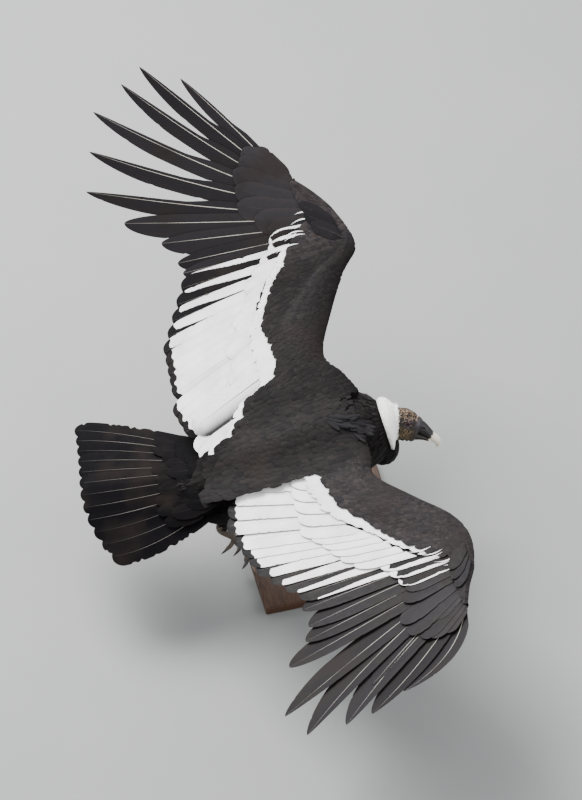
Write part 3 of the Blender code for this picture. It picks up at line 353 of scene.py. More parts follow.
class Coat:
    """Gathers feathers, each a grid of points from root to tip, into one piece.

    Large feathers each take the next of the coat's strips of the map.
    """

    def __init__(self, name, strips=1):
        self.name, self.strips, self.strips_used = name, strips, 0
        self.points, self.faces, self.tints, self.vane, self.bake = [], [], [], [], []
        self.total = 0

    def add(self, grids, tints, bake):
        """Grids are (feather, row, column, 3), tints have 4 numbers for each point and bake has 2."""
        count, rows, columns = grids.shape[:3]
        index = np.arange(count * rows * columns).reshape(count, rows, columns) + self.total
        corners = (index[:, :-1, :-1], index[:, :-1, 1:], index[:, 1:, 1:], index[:, 1:, :-1])
        self.faces.append(np.stack(corners, -1).reshape(-1, 4))
        self.points.append(grids.reshape(-1, 3))
        self.tints.append(np.broadcast_to(tints, (count, rows, columns, 4)).reshape(-1, 4))
        across, along = np.meshgrid(np.linspace(-1.0, 1.0, columns), np.linspace(0.0, 1.0, rows))
        vane = np.stack((across, along), -1)
        for kept, values in ((self.vane, vane), (self.bake, bake)):
            kept.append(np.broadcast_to(values, (count, rows, columns, 2)).reshape(-1, 2))
        self.total += count * rows * columns

    def piece(self, material, slot):
        points = moved(np.concatenate(self.points), FLIGHT)
        faces = np.concatenate(self.faces)
        mesh = bpy.data.meshes.new(self.name)
        mesh.vertices.add(len(points))
        mesh.vertices.foreach_set("co", points.ravel())
        mesh.loops.add(faces.size)
        mesh.loops.foreach_set("vertex_index", faces.ravel())
        mesh.polygons.add(len(faces))
        mesh.polygons.foreach_set("loop_start", np.arange(0, faces.size, 4))
        mesh.update(calc_edges=True)
        for layer, values in (("OFBake", self.bake), ("Vane", self.vane)):
            uv = mesh.uv_layers.new(name=layer)
            uv.data.foreach_set("uv", np.concatenate(values)[faces.ravel()].ravel())
        return dress(self.name, mesh, np.concatenate(self.tints), material)


class Solid:
    """Gathers closed grids of rings, with their colours, into one smooth piece."""

    def __init__(self, name):
        self.name, self.points, self.faces, self.tints, self.total = name, [], [], [], 0

    def add(self, grid, tint, looped=False):
        rows, columns = grid.shape[:2]
        index = np.arange(rows * columns).reshape(rows, columns) + self.total
        near, far = (index, np.roll(index, -1, 0)) if looped else (index[:-1], index[1:])
        quads = np.stack((near, np.roll(near, -1, 1), np.roll(far, -1, 1), far), -1)
        self.faces += quads.reshape(-1, 4).tolist()
        if not looped:
            self.faces += [index[0][::-1].tolist(), index[-1].tolist()]
        self.points.append(grid.reshape(-1, 3))
        self.tints.append(np.broadcast_to(tint, grid.shape).reshape(-1, 3))
        self.total += rows * columns

    def piece(self, material, slot):
        mesh = bpy.data.meshes.new(self.name)
        mesh.from_pydata(moved(np.concatenate(self.points), FLIGHT).tolist(), [], self.faces)
        made = bmesh.new()
        made.from_mesh(mesh)
        bmesh.ops.recalc_face_normals(made, faces=made.faces)
        made.to_mesh(mesh)
        made.free()
        return dress(self.name, mesh, marked(np.concatenate(self.tints), 1.0), material)


class Nodes:
    """Short calls for building a material's node tree."""

    def __init__(self, name):
        self.material = bpy.data.materials.new(name)
        self.material.use_nodes = True
        self.tree = self.material.node_tree
        self.shader = self.tree.nodes["Principled BSDF"]

    def new(self, kind, **settings):
        node = self.tree.nodes.new(kind)
        for key, value in settings.items():
            if key in node.inputs:
                node.inputs[key].default_value = value
            else:
                setattr(node, key, value)
        return node

    def link(self, source, target):
        self.tree.links.new(source, target)

    def drive(self, name, source):
        self.link(source, self.shader.inputs[name])

    def tint(self):
        return self.new("ShaderNodeAttribute", attribute_name="Tint").outputs

    def math(self, operation, a, b=0.0):
        node = self.new("ShaderNodeMath", operation=operation)
        for socket, value in zip(node.inputs, (a, b)):
            if isinstance(value, (int, float)):
                socket.default_value = value
            else:
                self.link(value, socket)
        return node.outputs[0]

    def blend(self, factor, a, b, mode="MIX"):
        node = self.new("ShaderNodeMix", data_type="RGBA", blend_type=mode)
        for socket, value in zip((node.inputs[0], node.inputs[6], node.inputs[7]), (factor, a, b)):
            if isinstance(value, (int, float)):
                socket.default_value = value
            elif isinstance(value, tuple):
                socket.default_value = (*value, 1.0)
            else:
                self.link(value, socket)
        return node.outputs[2]

    def noise(self, scale, detail=3.0, stretch=None):
        coords = self.new("ShaderNodeTexCoord").outputs["Object"]
        if stretch:
            mapping = self.new("ShaderNodeMapping")
            mapping.inputs["Scale"].default_value = stretch
            self.link(coords, mapping.inputs["Vector"])
            coords = mapping.outputs[0]
        node = self.new("ShaderNodeTexNoise", Scale=scale, Detail=detail)
        self.link(coords, node.inputs["Vector"])
        return node.outputs["Fac"]

    def bump(self, height, strength, distance):
        node = self.new("ShaderNodeBump", Strength=strength, Distance=distance)
        self.link(height, node.inputs["Height"])
        self.drive("Normal", node.outputs[0])

    def ramp(self, factor, low, high):
        node = self.new("ShaderNodeMapRange")
        node.inputs["From Min"].default_value = low
        node.inputs["From Max"].default_value = high
        self.link(factor, node.inputs["Value"])
        return node.outputs[0]

    def gloss(self, **values):
        for key, value in values.items():
            self.shader.inputs[key.replace("_", " ")].default_value = value


def feather_material(name, barbs, roughness, sheen, relief, specular=0.08):
    """Vanes: dark in their own tone, white where marked so, with slanting barbs in shade and relief."""
    n = Nodes(name)
    tint = n.tint()
    split = n.new("ShaderNodeSeparateXYZ")
    n.link(n.new("ShaderNodeUVMap", uv_map="Vane").outputs[0], split.inputs[0])
    side = n.math("ABSOLUTE", split.outputs[0])
    slant = n.math("MULTIPLY", n.math("SUBTRACT", split.outputs[1], n.math("MULTIPLY", side, 0.10)), barbs)
    wave = n.math("MULTIPLY", n.math("ADD", n.math("SINE", slant), 1.0), 0.5)
    clumps = n.noise(60.0, 4.0)
    ruffled = n.math("MULTIPLY", wave, clumps)
    shade = n.ramp(ruffled, -0.5, 0.45)
    dark = n.blend(n.ramp(n.noise(7.0), 0.5, 0.8), tint["Color"], tuple(BROWN * 0.9))
    dark = n.blend(0.6, dark, shade, "MULTIPLY")
    ragged = n.math("MULTIPLY", n.math("SUBTRACT", n.noise(220.0, 2.0), 0.5), 0.005)
    white = n.ramp(n.math("ADD", tint["Alpha"], ragged), -0.0008, 0.0008)
    # random pinkish-grey patches on the white: partly its own uneven tone, partly painted soft shade
    pale = n.blend(n.ramp(n.noise(16.0), 0.35, 0.75), tuple(WHITE), tuple(WHITE * (0.80, 0.77, 0.78)))
    pale = n.blend(0.16, pale, shade, "MULTIPLY")
    # painted shade: each vane's white darkens towards its edges, where the next feather shades it
    edge_shade = n.math("MULTIPLY", n.ramp(side, 0.62, 1.0), 0.17)
    pale = n.blend(edge_shade, pale, tuple(WHITE * (0.60, 0.56, 0.57)))
    n.drive("Base Color", n.blend(white, dark, pale))
    n.drive("Roughness", n.math("ADD", n.math("MULTIPLY", clumps, 0.25), roughness - 0.12))
    n.bump(ruffled, relief, 0.0012)
    n.gloss(Sheen_Weight=sheen, Sheen_Roughness=0.4, Specular_IOR_Level=specular)
    return n.material


def skin_material():
    """Dark skin between the feathers' roots."""
    n = Nodes("under_skin")
    n.drive("Base Color", n.blend(n.noise(40.0, 4.0), tuple(BLACK * 0.7), tuple(BROWN * 0.6)))
    n.bump(n.noise(500.0), 0.3, 0.0006)
    n.gloss(Roughness=0.85, Specular_IOR_Level=0.05)
    return n.material


def down_material():
    n = Nodes("down")
    n.drive("Base Color", n.blend(0.06, n.tint()["Color"], n.noise(90.0), "MULTIPLY"))
    n.bump(n.noise(700.0), 0.3, 0.0008)
    n.gloss(Roughness=0.95, Sheen_Weight=0.2, Sheen_Roughness=0.6, Specular_IOR_Level=0.2)
    return n.material


def tinted_material(name, roughness, specular, grain, relief, mottling=0.5, coat=0.0):
    """Skin or horn in the piece's own colours, mottled and with a fine relief."""
    n = Nodes(name)
    patches = n.ramp(n.noise(grain * 0.3, 4.0), 0.2, 0.75)
    n.drive("Base Color", n.blend(mottling, n.tint()["Color"], patches, "MULTIPLY"))
    cells = n.new("ShaderNodeTexVoronoi", Scale=grain)
    n.link(n.new("ShaderNodeTexCoord").outputs["Object"], cells.inputs["Vector"])
    n.bump(n.math("ADD", cells.outputs["Distance"], n.noise(grain * 2.0)), relief, 0.0006)
    n.drive("Roughness", n.math("ADD", n.math("MULTIPLY", patches, -0.12), roughness + 0.06))
    n.gloss(Specular_IOR_Level=specular, Coat_Weight=coat, Coat_Roughness=0.08)
    return n.material


def wood_material():
    """Stained hardwood with its grain along the base."""
    n = Nodes("stained_wood")
    grain = n.noise(9.0, 6.0, stretch=(9.0, 0.8, 9.0))
    streaks = n.ramp(n.math("SINE", n.math("MULTIPLY", grain, 42.0)), -1.0, 1.0)
    tone = n.blend(streaks, (0.045, 0.020, 0.010), (0.105, 0.050, 0.024))
    pores = n.noise(140.0, 2.0, stretch=(6.0, 0.6, 6.0))
    n.drive("Base Color", n.blend(pores, tone, (0.030, 0.014, 0.008)))
    n.bump(grain, 0.25, 0.0008)
    n.gloss(Roughness=0.45, Coat_Weight=0.12, Coat_Roughness=0.3, Specular_IOR_Level=0.3)
    return n.material


def metal_material():
    """Blackened steel, brushed along its length."""
    n = Nodes("dark_metal")
    brushed = n.noise(60.0, 4.0, stretch=(8.0, 8.0, 0.4))
    n.drive("Base Color", n.blend(brushed, (0.040, 0.040, 0.044), (0.085, 0.085, 0.090)))
    n.drive("Roughness", n.math("ADD", n.math("MULTIPLY", brushed, 0.25), 0.25))
    n.bump(brushed, 0.15, 0.0003)
    n.gloss(Metallic=1.0)
    return n.material


class Wing:
    """One wing's surfaces, worked out for whole arrays of places at once."""

    # The middle surface: how it rises and curls up outwards, and its camber, which ends over a span
    RISE, CURL_FROM, CURL = 0.0875, 0.35, 0.40
    CAMBER, CREST, CAMBER_ENDS = 0.16, 0.10, (0.45, 0.85)
    # The flesh from front to rear, its most from the neck out, and how much of that lies above the middle
    PROFILE = (
        (0.0, 0.03, 0.08, 0.15, 0.25, 0.38, 0.55, 0.8, 1.0, 1.3, 1.6),
        (0.0, 0.32, 0.57, 0.77, 0.93, 1.0, 0.93, 0.58, 0.28, 0.06, 0.0),
    )
    THICK = (0.070, 0.062, 0.056, 0.050, 0.042, 0.028, 0.021, 0.016, 0.012)
    ABOVE = (0.25, 0.32, 0.42, 0.5, 0.5, 0.5, 0.5, 0.5, 0.5)
    # Its outline: beside the body, ahead of and in from the wrist, and behind the bones
    NECK_OUT, FRONT_INNER, REAR_INNER = 0.06, (0.145, 0.110), ((0.06, -0.12), (0.145, -0.105))
    WRIST_AHEAD, WRIST_IN = 0.026, 0.012
    HUMERUS_DEPTH, ELBOW_DEPTH, FOREARM_DEPTH, WRIST_DEPTH = 0.088, 0.062, 0.045, 0.045
    HAND_AT, HAND_DEPTHS = (0.35, 0.7, 1.0), (0.036, 0.028, 0.018)
    ROOT_SOFTENED = (0.02, 0.3)

    def __init__(self, name, pose):
        self.name, self.side, self.pose = name, pose["side"], pose
        self.shoulder = np.array((SHOULDER_OUT, 0.0))
        self.elbow = self.shoulder + HUMERUS * heading(pose["humerus"])
        self.wrist = self.elbow + FOREARM * heading(pose["forearm"])
        self.hand_end = self.wrist + HAND * heading(pose["hand"])
        self.hand_ahead = heading(pose["hand"] + 90.0)
        line = self.wrist - self.shoulder
        ahead = unit(np.array((-line[1], line[0])))
        on_hand = [mix(self.wrist, self.hand_end, share) for share in self.HAND_AT]
        front = [(self.NECK_OUT, pose["by_neck"]), self.FRONT_INNER]
        front += [self.shoulder + line * f + ahead * by for f, by in zip(PATAGIUM_AT, pose["patagium"])]
        front += [self.wrist + ahead * self.WRIST_AHEAD - unit(line) * self.WRIST_IN]
        front += [point + self.hand_ahead * by for point, by in zip(on_hand, pose["hand_edge"])]
        rear = [*self.REAR_INNER, mix(self.shoulder, self.elbow, 0.6) - (0.0, self.HUMERUS_DEPTH)]
        rear += [self.elbow - (0.0, self.ELBOW_DEPTH)]
        rear += [mix(self.elbow, self.wrist, 0.5) + heading(pose["forearm"] - 90.0) * self.FOREARM_DEPTH]
        rear += [self.wrist - (0.0, self.WRIST_DEPTH)]
        rear += [point - self.hand_ahead * by for point, by in zip(on_hand, self.HAND_DEPTHS)]
        ts = np.linspace(0.0, 1.0, 60)
        self.front, self.rear = spline(front, ts), spline(rear, ts)
        self.middles = (np.array(front)[:, 0] + np.array(rear)[:, 0]) / 2
        feathers = sorted(self.secondaries() + self.primaries(), key=lambda f: f["root"][0])
        self.roots_out = np.array([f["root"][0] for f in feathers])
        self.roots_angle = np.array([f["angle"] for f in feathers])

    def angle(self, out):
        """How the large feathers lie, for the small ones to follow."""
        return np.interp(out, self.roots_out, self.roots_angle)

    def height(self, out, forward):
        flat = 1.0 - step(*self.CAMBER_ENDS, out)
        rise = self.RISE * (out - SHOULDER_OUT) + self.CURL * np.maximum(0.0, out - self.CURL_FROM) ** 2
        return SHOULDER_UP + rise - self.CAMBER * (forward - self.CREST) ** 2 * flat

    def black_edge(self, out):
        """How far back the small black feathers reach: to the white on the arm, and over the hand's flesh."""
        line, end = np.array(self.pose["white_from"]), self.hand_end
        share = np.clip((out - line[-1, 0]) / (end[0] - line[-1, 0]), 0.0, 1.0)
        on_hand = mix(line[-1, 1] + 0.02, end[1] - 0.01, share)
        return np.where(out < line[-1, 0], np.interp(out, line[:, 0], line[:, 1]), on_hand)

    def black_reach(self, feather):
        """How far along a flight feather the small black feathers cover it."""
        along = np.linspace(0.0, feather["length"], 60)
        plan = feather["root"] + along[:, None] * heading(-feather["angle"])
        bare = plan[:, 1] < self.black_edge(plan[:, 0])
        return along[np.argmax(bare)]

    def black_slope(self, feather, along):
        """How steeply the black's edge runs forward, outwards, where a feather crosses it."""
        out = feather["root"][0] + along * heading(-feather["angle"])[0]
        near, far = self.black_edge(out - 0.02), self.black_edge(out + 0.02)
        return np.clip((far - near) / 0.04, 0.0, 1.2)

    def ahead_of(self, out):
        return np.interp(out, self.front[:, 0], self.front[:, 1])

    def behind(self, out):
        return np.interp(out, self.rear[:, 0], self.rear[:, 1])

    def flesh(self, out, forward):
        """How thick the flesh is above and under the middle surface, and its share of the way back."""
        front = self.ahead_of(out)
        share = (front - forward) / (front - self.behind(out))
        thick = np.interp(out, self.middles, self.THICK) * np.interp(share, *self.PROFILE)
        above = np.interp(out, self.middles, self.ABOVE)
        return thick * above, thick * (1.0 - above), share

    def place(self, out, forward, z):
        return joined(forward, self.side * out, z)

    def top(self, out, forward, lift=0.0):
        """Over the flesh, and behind it over the flight feathers."""
        forward = np.minimum(forward, self.ahead_of(out) - EDGE_GAP)
        above, _, share = self.flesh(out, forward)
        outwards = step(self.wrist[0] - 0.04, self.wrist[0] + 0.06, out)
        cover = mix(COVER_LIFT["arm"], COVER_LIFT["hand"], outwards) * step(*self.ROOT_SOFTENED, share)
        return self.place(out, forward, self.height(out, forward) + np.maximum(above, cover) + lift)

    def under(self, out, forward, lift=0.0):
        forward = np.minimum(forward, self.ahead_of(out) - EDGE_GAP)
        _, below, share = self.flesh(out, forward)
        cover = UNDER_LIFT * step(*self.ROOT_SOFTENED, share)
        return self.place(out, forward, self.height(out, forward) - np.maximum(below, cover) - lift)

    def stacked(self, feathers):
        """Raises each feather off the next one out, where their roots are too close for the tilt alone."""
        lift = 0.0
        for outer, inner in zip(feathers, feathers[1:]):
            along = heading(-inner["angle"])
            apart = np.dot(outer["root"] - inner["root"], (-along[1], along[0]))
            lift += max(0.0, CLEAR - TILT * apart)
            inner["lift"] = lift
        return feathers

    def primaries(self):
        """From the outermost in, sunk so that the innermost meets the first secondary."""
        last = len(PRIMARY_LENGTHS) - 1
        feathers = self.stacked([
            {
                "root": mix(self.wrist, self.hand_end, mix(*PRIMARY_ROOTS, i / last)),
                "angle": self.pose["fan"][i], "length": PRIMARY_LENGTHS[i] * self.pose["grown"][i],
                "bow": self.pose["bow"][i], "lift": 0.0, "number": i,
            }
            for i in reversed(range(last + 1))
        ])
        top = feathers[-1]["lift"] + 0.0006
        for feather in feathers:
            feather["lift"] -= top
        return feathers

    def secondaries(self):
        """From the wrist to the body, tertials last."""
        feathers = []
        count, tertials = self.pose["secondaries"], self.pose["tertials"]
        for i in range(count):
            t = (i + 0.35) / (count - 0.3)
            length = np.interp(t, (0.0, 0.5, 1.0), self.pose["secondary_lengths"])
            root, angle = mix(self.wrist, self.elbow, t), mix(*self.pose["secondary_angles"], t)
            feathers.append((root, angle, length))
        for i in range(tertials):
            t = i / (tertials - 1)
            root = mix(self.elbow, self.shoulder, 0.12 + 0.46 * t)
            angle, length = (mix(*self.pose[key], t) for key in ("tertial_angles", "tertial_lengths"))
            feathers.append((root, angle, length))
        return self.stacked([
            {"root": root, "angle": angle, "length": length, "bow": 0.0, "lift": 0.0, "number": number}
            for number, (root, angle, length) in enumerate(feathers)
        ])

    def alula(self):
        """The thumb's three feathers, the outermost first."""
        feathers = []
        for i, length in enumerate(ALULA_LENGTHS):
            root = mix(self.wrist, self.hand_end, 0.02 + 0.06 * i) - self.hand_ahead * (0.012 - 0.004 * i)
            angle = -self.pose["hand"] + 20.0 - 6.0 * i
            lift = 0.010 - 0.002 * i
            feathers.append({"root": root, "length": length, "angle": angle, "bow": 0.02, "lift": lift})
        return feathers


def rounding(t, start, power, blunt):
    """A tip's narrowing: 1 up to start, then down to 0 at the end, as an arc or, less blunt, to a point."""
    over = np.clip((t - start) / (1.0 - start), 0.0, 1.0)
    return np.maximum(1.0 - over ** power, 0.0) ** blunt


def worn(t, splits, depth):
    """Narrows a vane's edge at a few random splits between its barbs, for (row, side)."""
    left = np.ones((len(t), 2))
    for side in (0, 1):
        for at in chance.uniform(0.35, 0.98, splits):
            row = np.argmin(np.abs(t - at))
            left[row, side] = 1.0 - depth * chance.uniform(0.3, 1.0)
    return left


def across_offsets(t, kind, shape):
    """Each point's offset from the shaft, positive towards the leading side."""
    widths = np.stack([np.interp(t, ALONG, shape[k]) * kind.halves[k] for k in (0, 1)], 1)
    widths = widths * rounding(t, *kind.tip)[:, None] * worn(t, *kind.splits)
    u = np.linspace(-1.0, 1.0, kind.columns)
    return np.where(u < 0.0, u * widths[:, 1:], u * widths[:, :1])


def vane_grids(locate, t, offsets):
    """The two faces of a vane, from a function of (row share, offset, lift)."""
    camber = 0.06 * np.abs(offsets)
    edge = np.abs(np.linspace(-1.0, 1.0, offsets.shape[1]))
    body = VANE_HALF * (1.0 - edge ** 2)
    rows = np.broadcast_to(t[:, None], offsets.shape)
    return locate(rows, offsets, body - camber), locate(rows, offsets, -body - camber)[:, ::-1]


def shaft_grids(locate, t, radius):
    """A shaft's ridge over and under its vane, slimming to the tip."""
    r = radius * (1.0 - 0.82 * t[:, None] ** 0.8)
    offsets = r * np.array((-1.0, -0.6, 0.0, 0.6, 1.0))
    rise = r * np.array((0.0, 0.75, 1.0, 0.75, 0.0)) + 0.0003
    rows = np.broadcast_to(t[:, None], offsets.shape)
    return locate(rows, offsets, rise), locate(rows, offsets, -rise)[:, ::-1]


def bake_strip(coat, rows, columns, part):
    """A long feather's own strip of the map: part 0 is its upper face, 1 the lower, 2 and 3 the shaft's."""
    low, high = ((0.02, 0.44), (0.46, 0.88), (0.90, 0.93), (0.95, 0.98))[part]
    ends = [(coat.strips_used + share) / coat.strips for share in (low, high)]
    across, along = np.meshgrid(np.linspace(*ends, columns), np.linspace(0.01, 0.99, rows))
    return np.stack((across, along), -1)


def long_feather(coat, kind, locate, length, paint, shaft_tone, shape=BROAD):
    """One large feather, vane and shaft; paint gives its tints from places on it, in metres."""
    t = 1.0 - (1.0 - np.linspace(0.0, 1.0, kind.rows)) ** 1.35
    offsets = across_offsets(t, kind, shape)
    tints = paint(t[:, None] * length, offsets)
    hidden = marked(tints[..., :3] * 1.6 + 0.004, ALL_DARK)
    for part, (grid, tint) in enumerate(zip(vane_grids(locate, t, offsets), (tints, hidden[:, ::-1]))):
        coat.add(grid[None], tint[None], bake_strip(coat, kind.rows, kind.columns, part)[None])
    thin = t[::2]
    middle = tints[::2, kind.columns // 2, :3][:, None, :]
    pale = marked(mix(shaft_tone, middle, step(0.7, 1.0, thin)[:, None, None] * 0.6), ALL_DARK)
    for part, grid in enumerate(shaft_grids(locate, thin, kind.shaft)):
        tint = np.broadcast_to(pale, (*grid.shape[:2], 4))
        coat.add(grid[None], tint[None], bake_strip(coat, len(thin), grid.shape[1], part + 2)[None])
    coat.strips_used += 1


def wing_locator(wing, feather, low, high):
    """Places points of one feather: share along, offset towards the leading side, and lift off the vane."""
    along = heading(-feather["angle"])
    lead = np.array((-along[1], along[0]))

    def locate(t, offset, lift):
        bow = feather["bow"] * 4.0 * t * (1.0 - t)
        swept = t * feather["length"] + np.abs(offset) * 0.35 * (1.0 - t)
        plan = feather["root"] + along * swept[..., None]
        plan = plan + lead * (offset + bow * feather["length"])[..., None]
        out, forward = plan[..., 0], plan[..., 1]
        z = wing.height(out, forward) + mix(low, high, step(0.0, 0.3, t)) + TILT * offset + lift
        return wing.place(out, forward, z)

    return locate


def mottled(base):
    """One feather's own shade of a colour."""
    return base * chance.uniform(0.75, 1.25)


def paint_black(tone, edge=BROWN, amount=0.35):
    """A dark feather, a little browner where its edge is worn."""
    def paint(along, offset):
        worn_edge = np.clip(np.abs(offset) / 0.03 - 0.6, 0.0, 1.0) * amount
        return marked(mix(tone, edge, worn_edge[..., None]), ALL_DARK)
    return paint


def paint_secondary(number, length, striped, black_tip, inwards):
    """White with a black tip; the inner web is black too on the outer feathers, so that they look striped."""
    inner_dark = np.clip((striped - number) / striped, 0.0, 1.0)
    dark = mottled(BLACK * 1.3)
    edge, wander, wave = mix(-0.018, 0.024, inner_dark), chance.uniform(0.0, 6.0), chance.uniform(25.0, 45.0)
    if inner_dark == 0.0:
        edge = ALL_DARK
    tip = length - black_tip * mix(1.0, 0.6, inwards) * chance.uniform(0.75, 1.25) - 0.008 * inner_dark

    def paint(along, offset):
        web = offset - edge - 0.0012 * np.sin(along * wave + wander)
        web = web - 0.034 * inner_dark * (along / length - 0.72)
        end = tip - along - 0.3 * np.abs(offset) + 0.003 * np.sin(offset * 220.0 + wander)
        return marked(dark, np.minimum(web, end))

    return paint


def paint_covert(number, striped, white_from, slope):
    """A greater covert: white, but dark at its root and along its inner web on the outermost ones."""
    inner_dark = np.clip((0.8 * striped - number) / striped, 0.0, 1.0)
    dark, wander = mottled(BLACK * 1.3), chance.uniform(0.0, 6.0)
    edge = mix(-0.036, 0.0, inner_dark)

    def paint(along, offset):
        wedge = 0.06 * inner_dark * (along - white_from - 0.06)
        web = offset - edge - 0.0015 * np.sin(along * 60.0 + wander) + wedge
        start = along - white_from + slope * offset + 0.002 * np.sin(offset * 150.0 + wander)
        return marked(dark, np.minimum(web, start if inner_dark > 0.0 else ALL_WHITE))

    return paint


def paint_edged(length, border, tip):
    """A dark covert at the wrist with a white crescent down its leading edge and over its tip."""
    dark, wander = mottled(BLACK * 1.4), chance.uniform(0.0, 6.0)

    def paint(along, offset):
        share = np.clip((along / length - 0.22) / 0.78, 0.0, 1.0)
        from_edge = offset[:, -1:] - offset
        crescent = border * np.sin(math.pi * share ** 0.8) ** 0.7 - from_edge
        bulb = along - (length - tip) - 0.5 * np.abs(offset)
        return marked(dark, np.maximum(crescent + 0.0008 * np.sin(along * 110.0 + wander), bulb))

    return paint


def paint_shaded(length):
    """The one white feather that lies askew: painted shade darkens its inner web to a dark grey edge."""
    def paint(along, offset):
        inner = np.clip(-offset / 0.046, 0.0, 1.0)
        web_shade = np.clip(inner ** 1.1 * mix(0.5, 1.35, along / length) + 0.05, 0.0, 1.0)
        return marked(mix(WHITE, SHADE_GREY, web_shade[..., None] ** 1.4), ALL_DARK)
    return paint


def build_arm_feather(coat, wing, feather, inwards):
    """A secondary or tertial and its greater covert."""
    number, low, length = feather["number"], feather["lift"], feather["length"]
    striped = wing.pose["striped"]
    black_tip = -0.1 if number in wing.pose["white_tips"] else wing.pose["black_tip"]
    paint = paint_secondary(number, length, striped, black_tip, inwards)
    kind, tone, high = SECONDARY._replace(halves=wing.pose["secondary_halves"]), SHAFT_PALE * 1.5, low
    if number == wing.pose["askew"]:
        paint, kind, tone, high = paint_shaded(length), ASKEW, SHAFT_DARK * 0.3, low + ASKEW_RISE
        feather = dict(feather, length=length - ASKEW_SHORTER, angle=feather["angle"] + ASKEW_TURN)
    long_feather(coat, kind, wing_locator(wing, feather, low, high), feather["length"], paint, tone)
    covert = dict(feather, length=length * COVERT_SHARE * chance.uniform(0.88, 1.08))
    reach = wing.black_reach(feather)
    white_from = reach + chance.uniform(0.015, 0.021)
    paint = paint_covert(number, striped, white_from, wing.black_slope(feather, reach))
    if number == 0:
        paint = paint_edged(covert["length"], *OUTER_COVERT_EDGES)
    locate = wing_locator(wing, covert, low + 0.004, low + 0.0062)
    long_feather(coat, COVERT, locate, covert["length"], paint, tone)


def build_hand_feather(coat, wing, feather):
    """A primary and its covert."""
    number, low, length = feather["number"], feather["lift"], feather["length"]
    # the hand's tone is partly its own paler tone and partly painted sheen
    tone = BLACK * wing.pose["tones"][1]
    kind = PRIMARY._replace(halves=np.array(wing.pose["primary_halves"]) * wing.pose["slimmed"][number])
    shape = BROAD
    if number >= NOTCHED_FROM:
        kind, shape = kind._replace(tip=FINGER_TIP), (FINGER_BASE + wing.pose["finger"], FINGER_TRAILING)
    paint = paint_black(mottled(tone * 0.85), BROWN * 1.6)
    long_feather(coat, kind, wing_locator(wing, feather, low, low), length, paint, SHAFT_PALE * 1.2, shape)
    share = PRIMARY_COVERT_SHARES[min(number, len(PRIMARY_COVERT_SHARES) - 1)]
    covert = dict(feather, length=length * share, bow=0.0)
    paint = paint_black(mottled(tone * 1.4), BROWN * 2.2, 0.6)
    if number < len(WHITE_EDGES):
        paint = paint_edged(covert["length"], *WHITE_EDGES[number])
    locate = wing_locator(wing, covert, low + 0.003, low + 0.008)
    long_feather(coat, HAND_COVERT, locate, covert["length"], paint, SHAFT_DARK)


def build_flight(wing, material):
    """Primaries, secondaries, tertials, their greater coverts and the thumb's feathers of one wing."""
    arm, hand, thumb = wing.secondaries(), wing.primaries(), wing.alula()
    coat = Coat(f"flight_feathers_{wing.name}", 2 * (len(arm) + len(hand)) + len(thumb))
    for feather in arm:
        build_arm_feather(coat, wing, feather, feather["number"] / len(arm))
    for feather in hand:
        build_hand_feather(coat, wing, feather)
    for feather in thumb:
        low = feather["lift"]
        locate = wing_locator(wing, feather, low + COVER_LIFT["hand"] * 0.6, low + 0.012)
        # the thumb's tone, like the hand's, is partly its own paler tone and partly painted sheen
        paint = paint_black(mottled(BLACK * wing.pose["tones"][1] * 0.7), BROWN * 1.8, 0.6)
        long_feather(coat, ALULA, locate, feather["length"], paint, SHAFT_DARK)
    return coat.piece(material, "black_feather")


def small_feathers(coat, surface, place, way, length, half, lift, rise, tones, mark, bake, rows=6, columns=5,
                   camber=0.12, bend=None):
    """Many small feathers at once on a surface of two coordinates, in metres along each."""
    t = np.linspace(0.0, 1.0, rows)[None, :, None]
    u = np.linspace(-1.0, 1.0, columns)[None, None, :]
    sizes = (length, half, lift, rise)
    length, half, lift, rise = (np.broadcast_to(size, len(place))[:, None, None] for size in sizes)
    tones = np.broadcast_to(tones, (len(place), 3))[:, None, None, :]
    outline = np.minimum(1.0, 0.45 + 1.6 * t) * rounding(t, 0.45, 2.4, 0.5)
    across = u * outline * half
    if bend is not None:
        bow = bend[:, None, None] * length * 4.0 * t * (1.0 - t)
        across = across * (0.25 + 0.75 * np.sin(math.pi * t ** 0.8)) + bow
    side = np.stack((-way[:, 1], way[:, 0]), -1)
    a, b = (
        place[:, k, None, None] + t * length * way[:, k, None, None] + across * side[:, k, None, None]
        for k in (0, 1)
    )
    droop = camber * np.abs(u) * outline * half
    high = lift + rise * t ** 1.5 - droop * (0.4 + 0.6 * t)
    shade = tones * (1.0 + 0.22 * (t ** 2)[..., None] - 0.2 * (np.abs(u) * t)[..., None])
    patch = joined(u * 0.0015, (t - 0.5) * 0.003)
    coat.add(surface(a, b, high), marked(shade, mark), bake[:, None, None, :] + patch)


# The small feathers' map: a cell for each face of each wing, one for the body and one for all else
CELLS = {
    "left_top": (0.0, 0.0), "left_under": (0.34, 0.0), "right_top": (0.0, 0.5), "right_under": (0.34, 0.5),
    "body": (0.68, 0.0), "limbs": (0.68, 0.5),
}
CELL_MARGIN, CELL_SIZE = 0.01, (0.30, 0.47)


def bake_place(cell, across, along):
    """Where a place, as shares of its part, lies in the map."""
    shares = np.clip(np.stack((across, along), -1), 0.0, 1.0)
    return np.array(CELLS[cell]) + CELL_MARGIN + shares * CELL_SIZE


def wing_bake(wing, face, place):
    return bake_place(f"{wing.name}_{face}", place[:, 0] / 0.8, (place[:, 1] + 0.4) / 0.8)


def body_bake(place):
    return bake_place("body", (place[:, 1] + 0.17) / 0.34, (place[:, 0] + 0.43) / 0.62)


